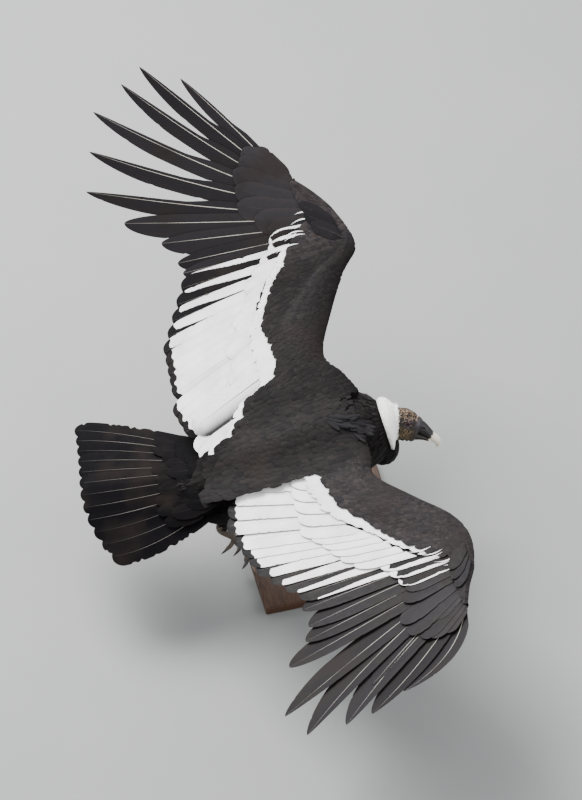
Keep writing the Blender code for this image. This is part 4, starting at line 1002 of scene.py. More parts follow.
def wing_scatter(wing, gap, sizes, edge):
    """Places and lengths of small feathers from the leading edge back to a line, closer where small."""
    places, lengths = [], []
    for out in np.arange(SHOULDER_OUT, wing.hand_end[0] - 0.004, gap):
        front, back = wing.ahead_of(out), edge(out)
        deep = max(front - back, 0.02)
        down = 0.002
        while True:
            size = mix(*sizes, min(down / 0.16, 1.0)) * chance.uniform(0.85, 1.15)
            if down > deep - size * 0.85:
                break
            places.append((out + chance.uniform(-0.5, 0.5) * gap, front - down))
            lengths.append(size)
            down += size * chance.uniform(0.20, 0.28)
    return np.array(places), np.array(lengths)


def ring_scatter(stations, radius_at, gap, least, jitter, around):
    """Places of small feathers in rings; around is the radius that turns their angles into ways."""
    places = []
    for station in stations:
        count = max(int(FULL_TURN * radius_at(station) / gap), least)
        for k in range(count):
            angle = FULL_TURN * (k + chance.uniform(-0.3, 0.3)) / count
            places.append((station + chance.uniform(-jitter, jitter), angle * around))
    return np.array(places)


def dark_tones(count, low, high, brown):
    """Every small feather's own dark tone."""
    shade = chance.uniform(low, high, (count, 1))
    return shade * mix(BLACK, BROWN, chance.uniform(0.0, brown, (count, 1)))


def build_median_coverts(coat, wing):
    """The rows of white feathers along the black's edge, slimmer and leaning out towards the wrist."""
    start, end = wing.pose["white_from"][0][0], wing.pose["white_from"][-1][0]
    near_end = end - 0.026
    for behind in MEDIAN_ROOTS:
        row = np.arange(start + 0.02, near_end, MEDIAN_GAP)
        row = row + chance.uniform(-0.003, 0.003, len(row))
        place = np.stack((row, wing.black_edge(row) + behind), -1)
        lean = np.interp(row, (end - 0.10, near_end), (0.0, wing.pose["streak_lean"]))
        beyond = np.interp(row, (0.12, 0.22, 0.34, 0.42, 0.6), (0.03, 0.06, 0.06, 0.028, 0.022))
        length = (behind + beyond + lean * 0.0011) * chance.uniform(0.90, 1.08, len(row))
        half = np.interp(row, (end - 0.09, near_end), (0.013, 0.0060)) * chance.uniform(0.85, 1.1, len(row))
        small_feathers(coat, wing.top, place, heading(-wing.angle(row) - lean), length, half, -0.0035, 0.001,
                       BLACK, ALL_WHITE, wing_bake(wing, "top", place), 8, 7)


def build_streaks(coat, wing):
    inward, forward, length, bend = np.array(STREAKS).T
    out = wing.pose["white_from"][-1][0] - inward
    place = np.stack((out, wing.black_edge(out) + forward), -1)
    way = heading(-wing.angle(out) - wing.pose["streak_lean"] * 0.6)
    small_feathers(coat, wing.top, place, way, length, STREAK_HALF, STREAK_LIFT, STREAK_RISE,
                   BLACK, ALL_WHITE, wing_bake(wing, "top", place), 14, 3, bend=bend)


def build_coverts(wing, material):
    """The small black feathers over and under a wing, and the rows of white median coverts."""
    coat = Coat(f"coverts_{wing.name}")
    build_median_coverts(coat, wing)
    build_streaks(coat, wing)

    def under_edge(out):
        return np.minimum(wing.black_edge(out), wing.ahead_of(out) - 0.17)

    faces = (
        ("top", wing.top, wing.black_edge, 0.0075, (0.016, 0.042)),
        ("under", wing.under, under_edge, 0.011, (0.02, 0.055)),
    )
    for face, surface, edge, gap, sizes in faces:
        place, length = wing_scatter(wing, gap, sizes, edge)
        count, out = len(place), place[:, 0]
        way = heading(-wing.angle(out) - chance.normal(0.0, 4.0, count))
        half = length * np.interp(length, (0.018, 0.030), (0.50, 0.30))
        # paler tones on arm and hand: partly the feathers' own, partly painted sheen, most on the right wing's
        # arm
        paler_with_sheen = np.interp(out, (wing.wrist[0] - 0.05, wing.wrist[0] + 0.05), wing.pose["tones"])
        paler_with_sheen = mix(1.0, paler_with_sheen, step(SHOULDER_OUT, 0.22, out))[:, None]
        lift, rise = chance.uniform(0.0001, 0.0007, count), chance.uniform(0.0003, 0.0012, count)
        small_feathers(coat, surface, place, way, length, half, lift, rise,
                       paler_with_sheen * dark_tones(count, 0.75, 1.35, 0.3), ALL_DARK, wing_bake(wing, face, place))
    return coat.piece(material, "black_feather")


def tail_place(back, out, lift):
    yaw = math.radians(TAIL_YAW_DEG)
    droop = TAIL_ROOF * np.abs(out) + TAIL_ARCH * out * out
    behind = -back * math.cos(yaw) - out * math.sin(yaw)
    left = back * math.sin(yaw) - out * math.cos(yaw)
    return TAIL_ROOT + np.stack((behind, left, lift - droop - TAIL_DROP * back), -1)


def tail_locator(out_root, out_tip, length, lift_at):
    spread = out_tip - out_root
    flare = mix(*TAIL_FLARES, 0.5 + 0.5 * out_tip / TAIL_SPREAD)

    def locate(t, offset, lift):
        out = out_root + spread * (1.0 - (1.0 - t) ** flare)
        turn = np.arctan(spread * flare * (1.0 - t) ** (flare - 1.0) / length)
        return tail_place(t * length - offset * np.sin(turn), out + offset * np.cos(turn), lift_at + lift)

    return locate


def build_tail(material):
    coat = Coat("tail_feathers", RECTRICES + sum(row[0] for row in TAIL_COVERTS))
    half = RECTRICES // 2
    for i in range(RECTRICES):
        share = (i - half + 0.5) / (half - 0.5)
        depth = (half - 1 - i) if i < half else i - half + 1
        length = mix(TAIL_LENGTH, TAIL_OUTER_LENGTHS[i >= half], share * share)
        lift = RECTRIX_LIFT - depth * RECTRIX_STEP
        locate = tail_locator(share * TAIL_ROOTS, share * TAIL_SPREAD, length, lift)
        # painted sheen: the dark tone takes a bluish cast for the tail feathers' bluish sheen
        paint = paint_black(mottled(BLACK * (0.85, 0.88, 1.0)), BROWN, 0.3)
        long_feather(coat, RECTRIX, locate, length, paint, SHAFT_PALE * chance.uniform(0.25, 1.0))
    for count, usual, spread, lift in TAIL_COVERTS:
        for i in range(count):
            share = 2.0 * i / (count - 1) - 1.0
            length = usual * chance.uniform(0.90, 1.05)
            locate = tail_locator(share * TAIL_ROOTS, share * spread, length, lift + 0.0012 * (i % 2))
            long_feather(coat, TAIL_COVERT, locate, length, paint_black(mottled(BLACK)), SHAFT_DARK)
    return coat.piece(material, "black_feather")


def body_ring(x):
    return [np.interp(x, BODY[:, 0], BODY[:, k]) for k in (1, 2, 3)]


def crop_radius(x, least=0.0):
    """The crop's radius in the slice at x."""
    return CROP_SIZE[1] * np.sqrt(np.clip(1.0 - ((x - CROP_AT[0]) / CROP_SIZE[0]) ** 2, least, 1.0))


def body_point(x, angle, lift=0.0):
    """A point on the torso, neck and crop; the angle runs from the left side over the back."""
    middle, wide, high = body_ring(x)
    y, z = oval(angle, wide, high)
    reach = np.hypot(y, z)
    dy, dz = y / reach, z / reach
    py, pz = CROP_AT[1], CROP_AT[2] - middle
    nearest = dy * py + dz * pz
    inside = crop_radius(x) ** 2 - (py ** 2 + pz ** 2 - nearest ** 2)
    crop = np.where(inside > 0.0, nearest + np.sqrt(np.maximum(inside, 0.0)), 0.0)
    reach = np.logaddexp(reach / 0.004, crop / 0.004) * 0.004 + lift
    return joined(x, dy * reach, middle + dz * reach)


def back_surface(wings):
    """The back between the wings: it runs level from the torso's ridge out to the wings' upper sides."""
    def surface(x, y, lift):
        middle, wide, high = body_ring(x)
        torso = middle + high * np.sqrt(np.maximum(1.0 - (y / wide) ** 2, 0.0))
        out = np.abs(y)
        plane = np.where(y > 0.0, wings["left"].top(out, x)[..., 2], wings["right"].top(out, x)[..., 2])
        level = mix(middle + high + 0.008, plane, step(0.0, 0.12, out))
        return joined(x, y, np.logaddexp(torso / 0.006, level / 0.006) * 0.006 + lift)
    return surface


def crop_point(x, arc, lift):
    """A point on the bulging crop, ahead of the torso; the angle runs as on the torso."""
    angle, reach = arc / CROP_SIZE[1], crop_radius(x) + lift
    return joined(x, CROP_AT[1] + reach * np.cos(angle), CROP_AT[2] + reach * np.sin(angle))


def build_crop(coat):
    """Short feathers over the crop, rooted below its surface so that its outline stays smooth."""
    stations = CROP_AT[0] + CROP_SIZE[0] * np.sin(np.linspace(-0.5, 1.5, 15))
    place = ring_scatter(stations, lambda x: crop_radius(x, 0.01), 0.009, 8, 0.002, CROP_SIZE[1])
    count = len(place)
    turn = chance.normal(0.0, 0.15, count)
    way = np.stack((-np.cos(turn), np.sin(turn)), -1)
    length = chance.uniform(0.015, 0.021, count)
    bake = bake_place("body", place[:, 1] / 0.7, (place[:, 0] + 0.43) / 0.64)
    small_feathers(coat, crop_point, place, way, length, length * 0.28, -0.003, 0.0035,
                   dark_tones(count, 0.7, 1.2, 0.3), ALL_DARK, bake)


def build_torso_feathers(coat):
    """Contour feathers of the torso and neck, shorter and flatter towards the neck."""
    def surface(x, arc, lift):
        return body_point(x, arc / BODY_AROUND, lift)

    stations = np.arange(-0.41, 0.166, 0.0115)
    place = ring_scatter(stations, lambda x: body_ring(x)[1], 0.0125, 15, 0.004, BODY_AROUND)
    count, x = len(place), place[:, 0]
    length = np.interp(x, (-0.4, -0.25, 0.05, 0.12, 0.17), (0.065, 0.060, 0.042, 0.028, 0.018))
    length = length * chance.uniform(0.85, 1.15, count)
    turn = chance.normal(0.0, 0.12, count)
    slim = np.maximum(body_ring(x)[1] / BODY_AROUND, 0.4)
    way = np.stack((-np.cos(turn), np.sin(turn) / slim), -1)
    bake = bake_place("body", place[:, 1] / 0.7, (x + 0.43) / 0.62)
    ahead = step(0.08, 0.13, x)
    lift = chance.uniform(0.0005, 0.002, count) - 0.0035 * ahead
    rise = mix(chance.uniform(0.002, 0.005, count), 0.0036, ahead)
    small_feathers(coat, surface, place, way, length, length * 0.30, lift, rise,
                   dark_tones(count, 0.7, 1.3, 0.4), ALL_DARK, bake)


def build_back_feathers(coat, wings):
    """The long feathers of the back and shoulders, down to the edge of the wings' white."""
    places = []
    for x in np.arange(0.105, -0.36, -0.011):
        wide = np.interp(x, (-0.36, -0.2, 0.0, 0.06, 0.11), (0.12, 0.16, 0.16, 0.13, 0.06))
        for y in np.arange(-wide, wide, 0.0115):
            places.append((x + chance.uniform(-0.004, 0.004), y + chance.uniform(-0.004, 0.004)))
    place = np.array(places)
    out = np.abs(place[:, 1])
    length = mix(0.045, 0.10, step(0.2, 1.0, out / 0.15))
    length = length * np.interp(place[:, 0], (-0.3, -0.1, 0.04, 0.11), (0.8, 1.0, 0.6, 0.35))
    length = length * chance.uniform(0.85, 1.15, len(place))
    reach = out + np.minimum(length * 0.28, 0.019)
    edge = np.where(place[:, 1] > 0.0, wings["left"].black_edge(reach), wings["right"].black_edge(reach))
    kept = (place[:, 0] - length * 0.95 > edge) | (out < 0.03)
    place, length = place[kept], length[kept]
    count = len(place)
    turn = chance.normal(0.0, 0.08, count) + 0.08 * np.sign(place[:, 1])
    way = np.stack((-np.cos(turn), -np.sin(turn)), -1)
    lift, rise = chance.uniform(0.0008, 0.0020, count), chance.uniform(0.0004, 0.0018, count)
    half = np.minimum(length * 0.32, 0.019)
    small_feathers(coat, back_surface(wings), place, way, length, half, lift, rise,
                   dark_tones(count, 0.75, 1.35, 0.4), ALL_DARK, body_bake(place), 8, 5)


def build_ruffle(coat, wings):
    """Loose long feathers behind the neck, blown forward to the right, paler and bluish in a painted sheen."""
    share = np.linspace(0.0, 1.0, RUFFLED)[:, None]
    place = mix(RUFFLE_FROM, RUFFLE_TO, share) + chance.uniform(-0.011, 0.011, (RUFFLED, 2))
    turn = chance.normal(-0.62, 0.22, RUFFLED)
    way = np.stack((np.cos(turn), np.sin(turn)), -1)
    length = chance.uniform(0.045, 0.078, RUFFLED)
    # painted sheen: these feathers are paler than the rest of the coat and tinted blue
    tones = dark_tones(RUFFLED, 1.0, 2.0, 0.1) * (0.97, 1.0, 1.08)
    lift, rise = chance.uniform(0.003, 0.006, RUFFLED), chance.uniform(0.004, 0.011, RUFFLED)
    small_feathers(coat, back_surface(wings), place, way, length, length * 0.11, lift, rise, tones, ALL_DARK,
                   body_bake(place), 9, 5, 0.25)


def build_body_coat(wings, material):
    coat = Coat("body_feathers")
    build_torso_feathers(coat)
    build_crop(coat)
    build_back_feathers(coat, wings)
    build_ruffle(coat, wings)
    return coat.piece(material, "black_feather")


def along_path(path, share):
    """The way ahead on a smooth path, and its sideways and upward directions."""
    ahead = unit(spline(path, share + 0.01) - spline(path, share - 0.01))
    side = unit(np.cross(ahead, (0.0, 0.0, 1.0)))
    return ahead, side, np.cross(side, ahead)


def tube_grid(path, radii, rows, sides):
    """Rings along a smooth path; the first point of each ring lies highest."""
    share = np.linspace(0.0, 1.0, rows)
    middle = spline(path, share)
    radius = spline(np.asarray(radii)[:, None], share)[:, None, :]
    ahead = unit(np.gradient(middle, axis=0))
    side = unit(np.cross(ahead, (0.0, 0.0, 1.0)))
    up = np.cross(side, ahead)
    turns = np.linspace(0.0, FULL_TURN, sides, endpoint=False)[None, :, None]
    return middle[:, None, :] + radius * (np.cos(turns) * up[:, None, :] + np.sin(turns) * side[:, None, :])


class Limb:
    """A leg's thigh or plume, as a surface of the way along it and around it, in metres."""

    AROUND = 0.05  # the radius that turns a way around it into an angle

    def __init__(self, path, radii):
        self.path, self.radii = np.array(path), np.array(radii)[:, None]
        walk = spline(self.path, np.linspace(0.0, 1.0, 50))
        self.length = np.linalg.norm(np.diff(walk, axis=0), axis=1).sum()

    def radius(self, along):
        return spline(self.radii, along / self.length)[0]

    def point(self, along, arc, lift):
        share = np.clip(along / self.length, 0.01, 0.99)
        ahead, side, up = along_path(self.path, share)
        reach = (spline(self.radii, share)[..., 0] + lift)[..., None]
        turn = (arc / self.AROUND)[..., None]
        beyond = (along - share * self.length)[..., None]
        return spline(self.path, share) + reach * (np.cos(turn) * up + np.sin(turn) * side) + ahead * beyond


def limbs():
    """The feathered parts of the legs: both thighs, and the plume over the lowered ankle."""
    made = {}
    for name, joints in LEGS.items():
        knee, ankle = np.array(joints[0]), np.array(joints[1])
        made[name] = Limb([mix(knee, ankle, f) for f in THIGH_AT], THIGH_RADII[name])
        if name == "right":
            path = [mix(knee, ankle, PLUME_FROM), *(ankle + point for point in PLUME)]
            made["plume"] = Limb(path, PLUME_RADII)
    return made


def wing_skin(wing):
    """Rings around one wing's flesh, from the body to the hand's end."""
    shares = np.concatenate((np.linspace(0.0, 1.0, 14), np.linspace(1.0, 0.0, 14)[1:-1]))
    upper = np.arange(len(shares)) < 14
    grid = []
    for out in np.linspace(0.07, wing.hand_end[0] - 0.006, 70):
        forward = mix(wing.ahead_of(out) - 0.003, wing.behind(out), shares)
        above, below, _ = wing.flesh(out, forward)
        thick = above + below
        inner = np.maximum(thick * 0.86 - 0.001, 0.0008) / np.maximum(thick, 1e-9)
        z = wing.height(out, forward) + np.where(upper, inner * above, -inner * below)
        grid.append(wing.place(out, forward, z))
    return np.array(grid)


def build_skin(wings, material):
    """One skin for the torso, neck, wings' flesh, tail stump and thighs, under the coat."""
    skin = Solid("skin")
    skin.add(body_point(*rings(np.linspace(BODY[0, 0], BODY[-1, 0], 70), 48), -COAT_DEPTH), BLACK)
    x, angle = rings(CROP_AT[0] + CROP_SIZE[0] * np.sin(np.linspace(-1.5, 1.5, 30)), 48)
    skin.add(crop_point(x, angle * CROP_SIZE[1], -CROP_COAT_DEPTH), BLACK)
    for wing in wings.values():
        skin.add(wing_skin(wing), BLACK)
    for limb in limbs().values():
        skin.add(tube_grid(limb.path, limb.radii[:, 0] * (1.0 - COAT_DEPTH / Limb.AROUND), 24, 20), BLACK)
    made = skin.piece(material, "black_feather")
    remesh = made.modifiers.new("whole", "REMESH")
    remesh.mode, remesh.voxel_size, remesh.use_smooth_shade = "VOXEL", 0.006, True
    bake_modifiers(made)
    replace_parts(made, "torso", "neck", "wing_arm_left", "wing_arm_right", "wing_hand_left", "wing_hand_right",
                "leg_left", "leg_right")


def bake_modifiers(obj):
    graph = bpy.context.evaluated_depsgraph_get()
    graph.update()
    mesh = bpy.data.meshes.new_from_object(obj.evaluated_get(graph))
    obj.modifiers.clear()
    old = obj.data
    obj.data = mesh
    bpy.data.meshes.remove(old)


def build_leg_feathers(material):
    """Loose feathers down the thighs, and the plume that blows back over the lowered ankle."""
    coat = Coat("leg_feathers")
    for order, limb in enumerate(limbs().values()):
        stations = np.arange(0.0, limb.length - 0.012, 0.011)
        place = ring_scatter(stations, limb.radius, 0.011, 5, 0.004, Limb.AROUND)
        count = len(place)
        sway = chance.normal(0.0, 0.15, count)
        way = np.stack((np.cos(sway), np.sin(sway)), -1)
        length = np.interp(place[:, 0] / limb.length, (0.0, 0.8, 1.0), (0.055, 0.050, 0.022))
        length = length * chance.uniform(0.8, 1.2, count)
        bake = bake_place("limbs", (order + place[:, 1] / 0.32) / 4.0, place[:, 0] / 0.3)
        lift, rise = chance.uniform(-0.003, 0.0, count), chance.uniform(0.001, 0.004, count)
        small_feathers(coat, limb.point, place, way, length, length * 0.26, lift, rise,
                       dark_tones(count, 0.7, 1.3, 0.4), ALL_DARK, bake)
    return coat.piece(material, "black_feather")


def from_head(points):
    matrix = Matrix.Translation(HEAD_AT)
    for axis, degrees in HEAD_TURNS_DEG:
        matrix = matrix @ Matrix.Rotation(math.radians(degrees), 4, axis)
    return moved(points, matrix)


def head_point(share, angle, lift=0.0):
    """A point on the head, in its own frame; the angle runs from its left side over the crown."""
    x, top, bottom, wide = np.moveaxis(spline(HEAD, share), -1, 0)
    y, z = oval(angle, wide + lift, (top - bottom) / 2.0 + lift)
    return joined(x, y, z + (top + bottom) / 2.0)


def cheek_folds(x, z):
    """Waves, -1 to 1, of the folds down the cheeks."""
    return np.sin((x + 0.35 * z + 0.006 * np.sin(z * 160.0)) * 620.0)


def head_relief(points):
    """Sockets, brows, folds and pebbled skin, as heights over the head's smooth form."""
    x, y, z = np.moveaxis(points, -1, 0)
    from_eye = np.hypot(x - EYE_AT[0], z - EYE_AT[2])
    on_side = step(0.008, 0.016, np.abs(y))
    socket = -0.0045 * np.exp(-(from_eye / 0.0118) ** 4)
    brow = 0.0024 * np.exp(-((z - 0.0235 - 0.15 * x) / 0.0042) ** 2 - ((x - 0.001) / 0.016) ** 2)
    wrinkles = 0.0009 * np.cos(from_eye * 1100.0) * np.exp(-((from_eye - 0.0155) / 0.0055) ** 2)
    cheek = 0.0014 * cheek_folds(x, z) * within(x, (-0.036, -0.024), (0.008, 0.024))
    cheek = cheek * (1.0 - step(-0.014, 0.004, z))
    throat = 0.0012 * np.sin(x * 480.0) * (1.0 - step(-0.046, -0.036, z))
    nape = 0.0015 * np.sin((x + 0.2 * np.abs(y)) * 560.0) * (1.0 - step(-0.052, -0.036, x))
    cere = 0.0016 * np.exp(-((x - 0.027) / 0.0045) ** 2) * step(-0.020, -0.006, z)
    pebbles = 0.0007 * rough(points, 160.0) + 0.0004 * rough(points, 420.0)
    return (socket + brow + wrinkles + cheek) * on_side + throat + nape + cere + pebbles


def head_tints(points):
    """Brown-black skin with flecks on the crown, ochre folds on the cheeks and a greyer front."""
    x, y, z = np.moveaxis(points, -1, 0)
    crown = step(0.020, 0.035, z + 0.25 * np.maximum(-0.03 - x, 0.0)) * (1.0 - step(0.012, 0.026, x))
    flecks = step(0.06, 0.26, rough(points, 230.0) + 0.4 * rough(points, 520.0))
    folds = np.clip(0.445 + 0.225 * cheek_folds(x, z) + 1.1 * rough(points, 190.0), 0.0, 1.0)
    cheek = (1.0 - step(-0.010, 0.004, z)) * within(x, (-0.044, -0.030), (0.012, 0.030))
    from_eye = np.hypot(x - EYE_AT[0], z - EYE_AT[2])
    amounts = {
        "flecks": crown * flecks,
        "cheek": cheek * folds,
        "socket": np.exp(-(from_eye / 0.0155) ** 4) * step(0.008, 0.014, np.abs(y)),
        "forehead": step(0.022, 0.032, x) * step(-0.020, -0.004, z),
        # painted highlight: a pale lavender patch on top of the cere
        "cere": 0.55 * np.exp(-((x - 0.026) / 0.007) ** 2 - ((z - 0.022) / 0.009) ** 2),
        "throat": 1.0 - step(-0.050, -0.038, z),
    }
    tint = np.broadcast_to(HEAD_TONES["skin"], points.shape)
    for name, amount in amounts.items():
        tint = mix(tint, HEAD_TONES[name], amount[..., None])
    return tint


def add_lids(head, centre, side):
    """Two fleshy rings around an eye."""
    for reach, out, thick, flat in LIDS:
        turn, around = rings(np.linspace(0.0, FULL_TURN, 48, endpoint=False), 12)
        wide = reach + thick * np.cos(around) + 0.0003 * np.sin(turn * 9.0)
        lid = joined(wide * np.cos(turn), side * (out + thick * np.sin(around)), flat * wide * np.sin(turn))
        head.add(from_head(centre + lid), HEAD_TONES["lids"], looped=True)


def add_eye(eyes, centre, side):
    polar, turn = rings(np.linspace(0.02, math.pi - 0.02, 40), 40)
    ball = joined(np.sin(polar) * np.cos(turn), side * np.cos(polar), np.sin(polar) * np.sin(turn))
    iris = within(polar, (0.26, 0.30), (0.72, 0.86))[..., None]
    eyes.add(from_head(centre + EYE_RADIUS * ball), mix(HEAD_TONES["pupil"], HEAD_TONES["iris"], iris))


def build_head(skin, gloss):
    head, eyes = Solid("head_skin"), Solid("eyes")
    share, angle = rings(np.linspace(0.0, 1.0, 120), 150)
    plain = head_point(share, angle)
    head.add(from_head(head_point(share, angle, head_relief(plain))), head_tints(plain))
    for side in (1.0, -1.0):
        centre = EYE_AT * (1.0, side, 1.0)
        add_lids(head, centre, side)
        add_eye(eyes, centre, side)
    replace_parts(head.piece(skin, "bare_skin"), "head")
    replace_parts(eyes.piece(gloss, "eye"), "eye_left", "eye_right")


def build_bill(name, profile, horn):
    """One half of the bill, dark with an ivory end and, on the upper one, nostrils."""
    share, angle = rings(np.linspace(0.0, 1.0, 110), 64)
    x, z, down, high, wide = np.moveaxis(spline(profile, share), -1, 0)
    y, rise = oval(angle, wide, high, 0.95)
    y = y * (1.0 - 0.25 * np.clip(rise / high, 0.0, 1.0) ** 2)
    points = np.stack((x + rise * np.sin(np.radians(down)), y, z + rise * np.cos(np.radians(down))), -1)
    from_nostril = (points[..., ::2] - NOSTRIL_AT) / NOSTRIL_SIZE
    hole = np.exp(-np.hypot(from_nostril[..., 0], from_nostril[..., 1]) ** 4)
    points[..., 1] *= 1.0 - 0.45 * hole
    wander = 0.0020 * rough(points, 150.0) + 0.0012 * np.sin(angle * 7.0)
    start = IVORY_FROM[name]
    ivory = step(start - 0.002, start + 0.004, x + 0.15 * rise + wander)[..., None]
    # painted shade: the nostrils' openings are painted near black
    dark = mix(HEAD_TONES[name], HEAD_TONES["nostril"], hole[..., None])
    pale = mix(HEAD_TONES["ivory"], HEAD_TONES["ivory_tip"], step(0.104, 0.111, x)[..., None] * 0.35)
    bill = Solid(name + "_horn")
    bill.add(from_head(points), mix(dark, pale, ivory))
    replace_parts(bill.piece(horn, "horn"), name)


def build_bristles(material):
    """Short sparse bristles over the crown, nape and cheeks, pale and dark."""
    coat = Coat("head_bristles")

    def surface(x, arc, lift):
        share = np.interp(x, HEAD[:, 0], np.linspace(0.0, 1.0, len(HEAD)))
        return from_head(head_point(share, arc / BRISTLE_AROUND, lift + 0.0004))

    x = chance.uniform(-0.066, 0.014, BRISTLES)
    angle = math.pi / 2.0 + chance.normal(0.0, 0.62, BRISTLES)
    place = np.stack((x, angle * BRISTLE_AROUND), -1)
    sway = chance.normal(0.0, 0.5, BRISTLES)
    way = np.stack((-np.cos(sway), np.sin(sway)), -1)
    pale = chance.uniform(0.0, 1.0, (BRISTLES, 1)) < 0.42
    tones = np.where(pale, HEAD_TONES["pale_bristle"], HEAD_TONES["dark_bristle"])
    tones = tones * chance.uniform(0.6, 1.2, (BRISTLES, 1))
    bake = bake_place("limbs", 0.76 + 0.2 * (x + 0.062) / 0.084, (angle + 1.0) / 5.2)
    length, half = chance.uniform(0.004, 0.0095, BRISTLES), chance.uniform(0.0003, 0.0007, BRISTLES)
    rise = chance.uniform(0.0006, 0.0028, BRISTLES)
    small_feathers(coat, surface, place, way, length, half, 0.0, rise, tones, ALL_DARK, bake, 4, 3, 0.0)
    coat.piece(material, "bare_skin")


def ruff_width(turn):
    """How wide the ruff is: most at the nape, least at the throat."""
    nape = 0.5 + 0.5 * np.cos(turn - math.radians(NAPE_DEG))
    return mix(*RUFF_WIDTHS, nape ** 1.1)


def ruff_point(arc, along, lift):
    """The ruff's cushion; along runs from its back edge forward."""
    turn = arc / RUFF_AROUND
    wide = ruff_width(turn)
    share = along / wide
    plump = (wide - RUFF_WIDTHS[0]) / (RUFF_WIDTHS[1] - RUFF_WIDTHS[0])
    crest = mix(*RUFF_CRESTS, plump) * np.sin(math.pi * np.clip(share, 0.0, 1.0)) ** 0.7
    reach = mix(*RUFF_RADII, np.clip(share, -0.1, 1.15)) + crest + lift
    return RUFF_AT + joined(along, np.cos(turn) * reach, np.sin(turn) * reach)


def build_ruff(down):
    """Dense white down about the neck: a cushion under many soft, curved tufts."""
    share, turn = rings(np.linspace(0.0, 1.0, 14), 72)
    outer = ruff_point(turn * RUFF_AROUND, share * ruff_width(turn), -0.002)
    inner = RUFF_AT + (outer[::-1] - RUFF_AT) * (1.0, RUFF_INNER, RUFF_INNER)
    cushion = Solid("ruff_cushion")
    cushion.add(np.concatenate((outer, inner)), WHITE, looped=True)
    cushion.piece(down, "white_down")
    coat = Coat("ruff_down")
    turn = chance.uniform(0.0, FULL_TURN, RUFF_TUFTS)
    wide = ruff_width(turn)
    along = chance.uniform(-0.02, 0.95, RUFF_TUFTS) * wide
    place = np.stack((turn * RUFF_AROUND, along), -1)
    sway = chance.normal(0.0, 0.5, RUFF_TUFTS)
    way = np.stack((np.sin(sway), np.cos(sway)), -1)
    length = chance.uniform(0.009, 0.019, RUFF_TUFTS) * mix(0.5, 1.0, wide / RUFF_WIDTHS[1])
    tones = WHITE * chance.uniform(0.92, 1.03, (RUFF_TUFTS, 1)) * (1.0, 0.99, 0.975)
    bake = bake_place("limbs", 0.76 + 0.22 * turn / 6.3, along / 0.06)
    half = chance.uniform(0.0008, 0.0018, RUFF_TUFTS)
    lift, rise = chance.uniform(-0.0015, 0.0005, RUFF_TUFTS), chance.uniform(0.0010, 0.0050, RUFF_TUFTS)
    small_feathers(coat, ruff_point, place, way, length, half, lift, rise, tones, ALL_DARK, bake, 5, 3, 0.1)
    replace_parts(coat.piece(down, "white_down"), "ruff")


def foot_axes(ankle, joint):
    """Along the shank, and towards the sole's side."""
    along = unit(joint - ankle)
    up_and_back = np.array((-1.0, 0.0, 1.0))
    return along, unit(up_and_back - along * along.dot(up_and_back))


def toe_path(joint, along, sole, side, toe):
    """The toe's joints, the way its last bone runs, and the way it leans."""
    lean, length, _, up = toe
    hind = lean is None
    forward = along
    if not hind:
        forward = np.array(Matrix.Rotation(math.radians(lean) * side, 3, Vector(sole)) @ Vector(along))
    path = [joint - along * up + (sole * 0.008 if hind else forward * 0.004)]
    bends = HIND_CURL_DEG if hind else CURL_DEG
    for degrees in bends:
        bend = math.radians(degrees)
        last = forward * math.cos(bend) + sole * math.sin(bend)
        path.append(path[-1] + last * length / len(bends))
    return path, last, forward


def scaled(grid, path, sole, size):
    """Raises scutes like low steps across a toe's upper side, and pads its sole."""
    out = unit(grid - grid.mean(1, keepdims=True))
    below = np.clip((out * sole).sum(-1), 0.0, 1.0)
    walk = np.linspace(0.0, 1.0, len(grid))[:, None]
    length = np.linalg.norm(np.diff(np.array(path), axis=0), axis=1).sum()
    steps = 1.0 - (walk * length / size) % 1.0
    pads = 0.5 + 0.5 * np.sin(walk * FULL_TURN * PADS)
    lift = SCUTE_HEIGHT * steps * (1.0 - below) + PAD_HEIGHT * pads * below
    return grid + out * lift[..., None]


def claw_curve(base, last, sole, forward, length):
    """A claw's path, hooking from the toe's last bone towards the sole."""
    tip_way = unit(last + unit(sole - forward * 0.2) * 0.9)
    far = base + unit(last + tip_way) * length * 0.68
    return [base - last * 0.003, base + last * length * 0.3, far, far + tip_way * length * 0.36]


def build_foot(name, joints, skin, horn):
    knee, ankle, joint = (np.array(j) for j in joints)
    along, sole = foot_axes(ankle, joint)
    down = unit(ankle - knee)
    path = [ankle, ankle + down * 0.016, ankle + down * 0.020 + along * 0.022, mix(ankle, joint, 0.8),
            joint + along * 0.006]
    foot, claws = Solid(f"foot_{name}_skin"), Solid(f"claws_{name}")
    foot.add(scaled(tube_grid(path, FOOT_RADII, 120, 32), path, sole, FOOT_SCUTE), FOOT_TONE)
    for toe in TOES.values():
        path, last, forward = toe_path(joint, along, sole, WINGS[name]["side"], toe)
        radius, hind = toe[2], toe[0] is None
        grid = tube_grid(path, [radius * share for share in (HIND_SHARES if hind else TOE_SHARES)], 90, 28)
        foot.add(scaled(grid, path, sole, TOE_SCUTE), FOOT_TONE)
        curve = claw_curve(path[-1], last, sole, forward, CLAW_LENGTH * (HIND_CLAW_SHARE if hind else 1.0))
        claws.add(tube_grid(curve, [radius * share for share in CLAW_SHARES], 40, 24), CLAW_TONE)
    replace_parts(foot.piece(skin, "foot_skin"), f"foot_{name}")
    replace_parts(claws.piece(horn, "claw"), *(f"claw_{name}_{toe}" for toe in TOES))


def finish_stand():
    wood, metal = wood_material(), metal_material()
    for name, material in (("stand_base", wood), ("stand_rod", metal), ("stand_collar", metal)):
        nodes[name].material_slots[0].material = material


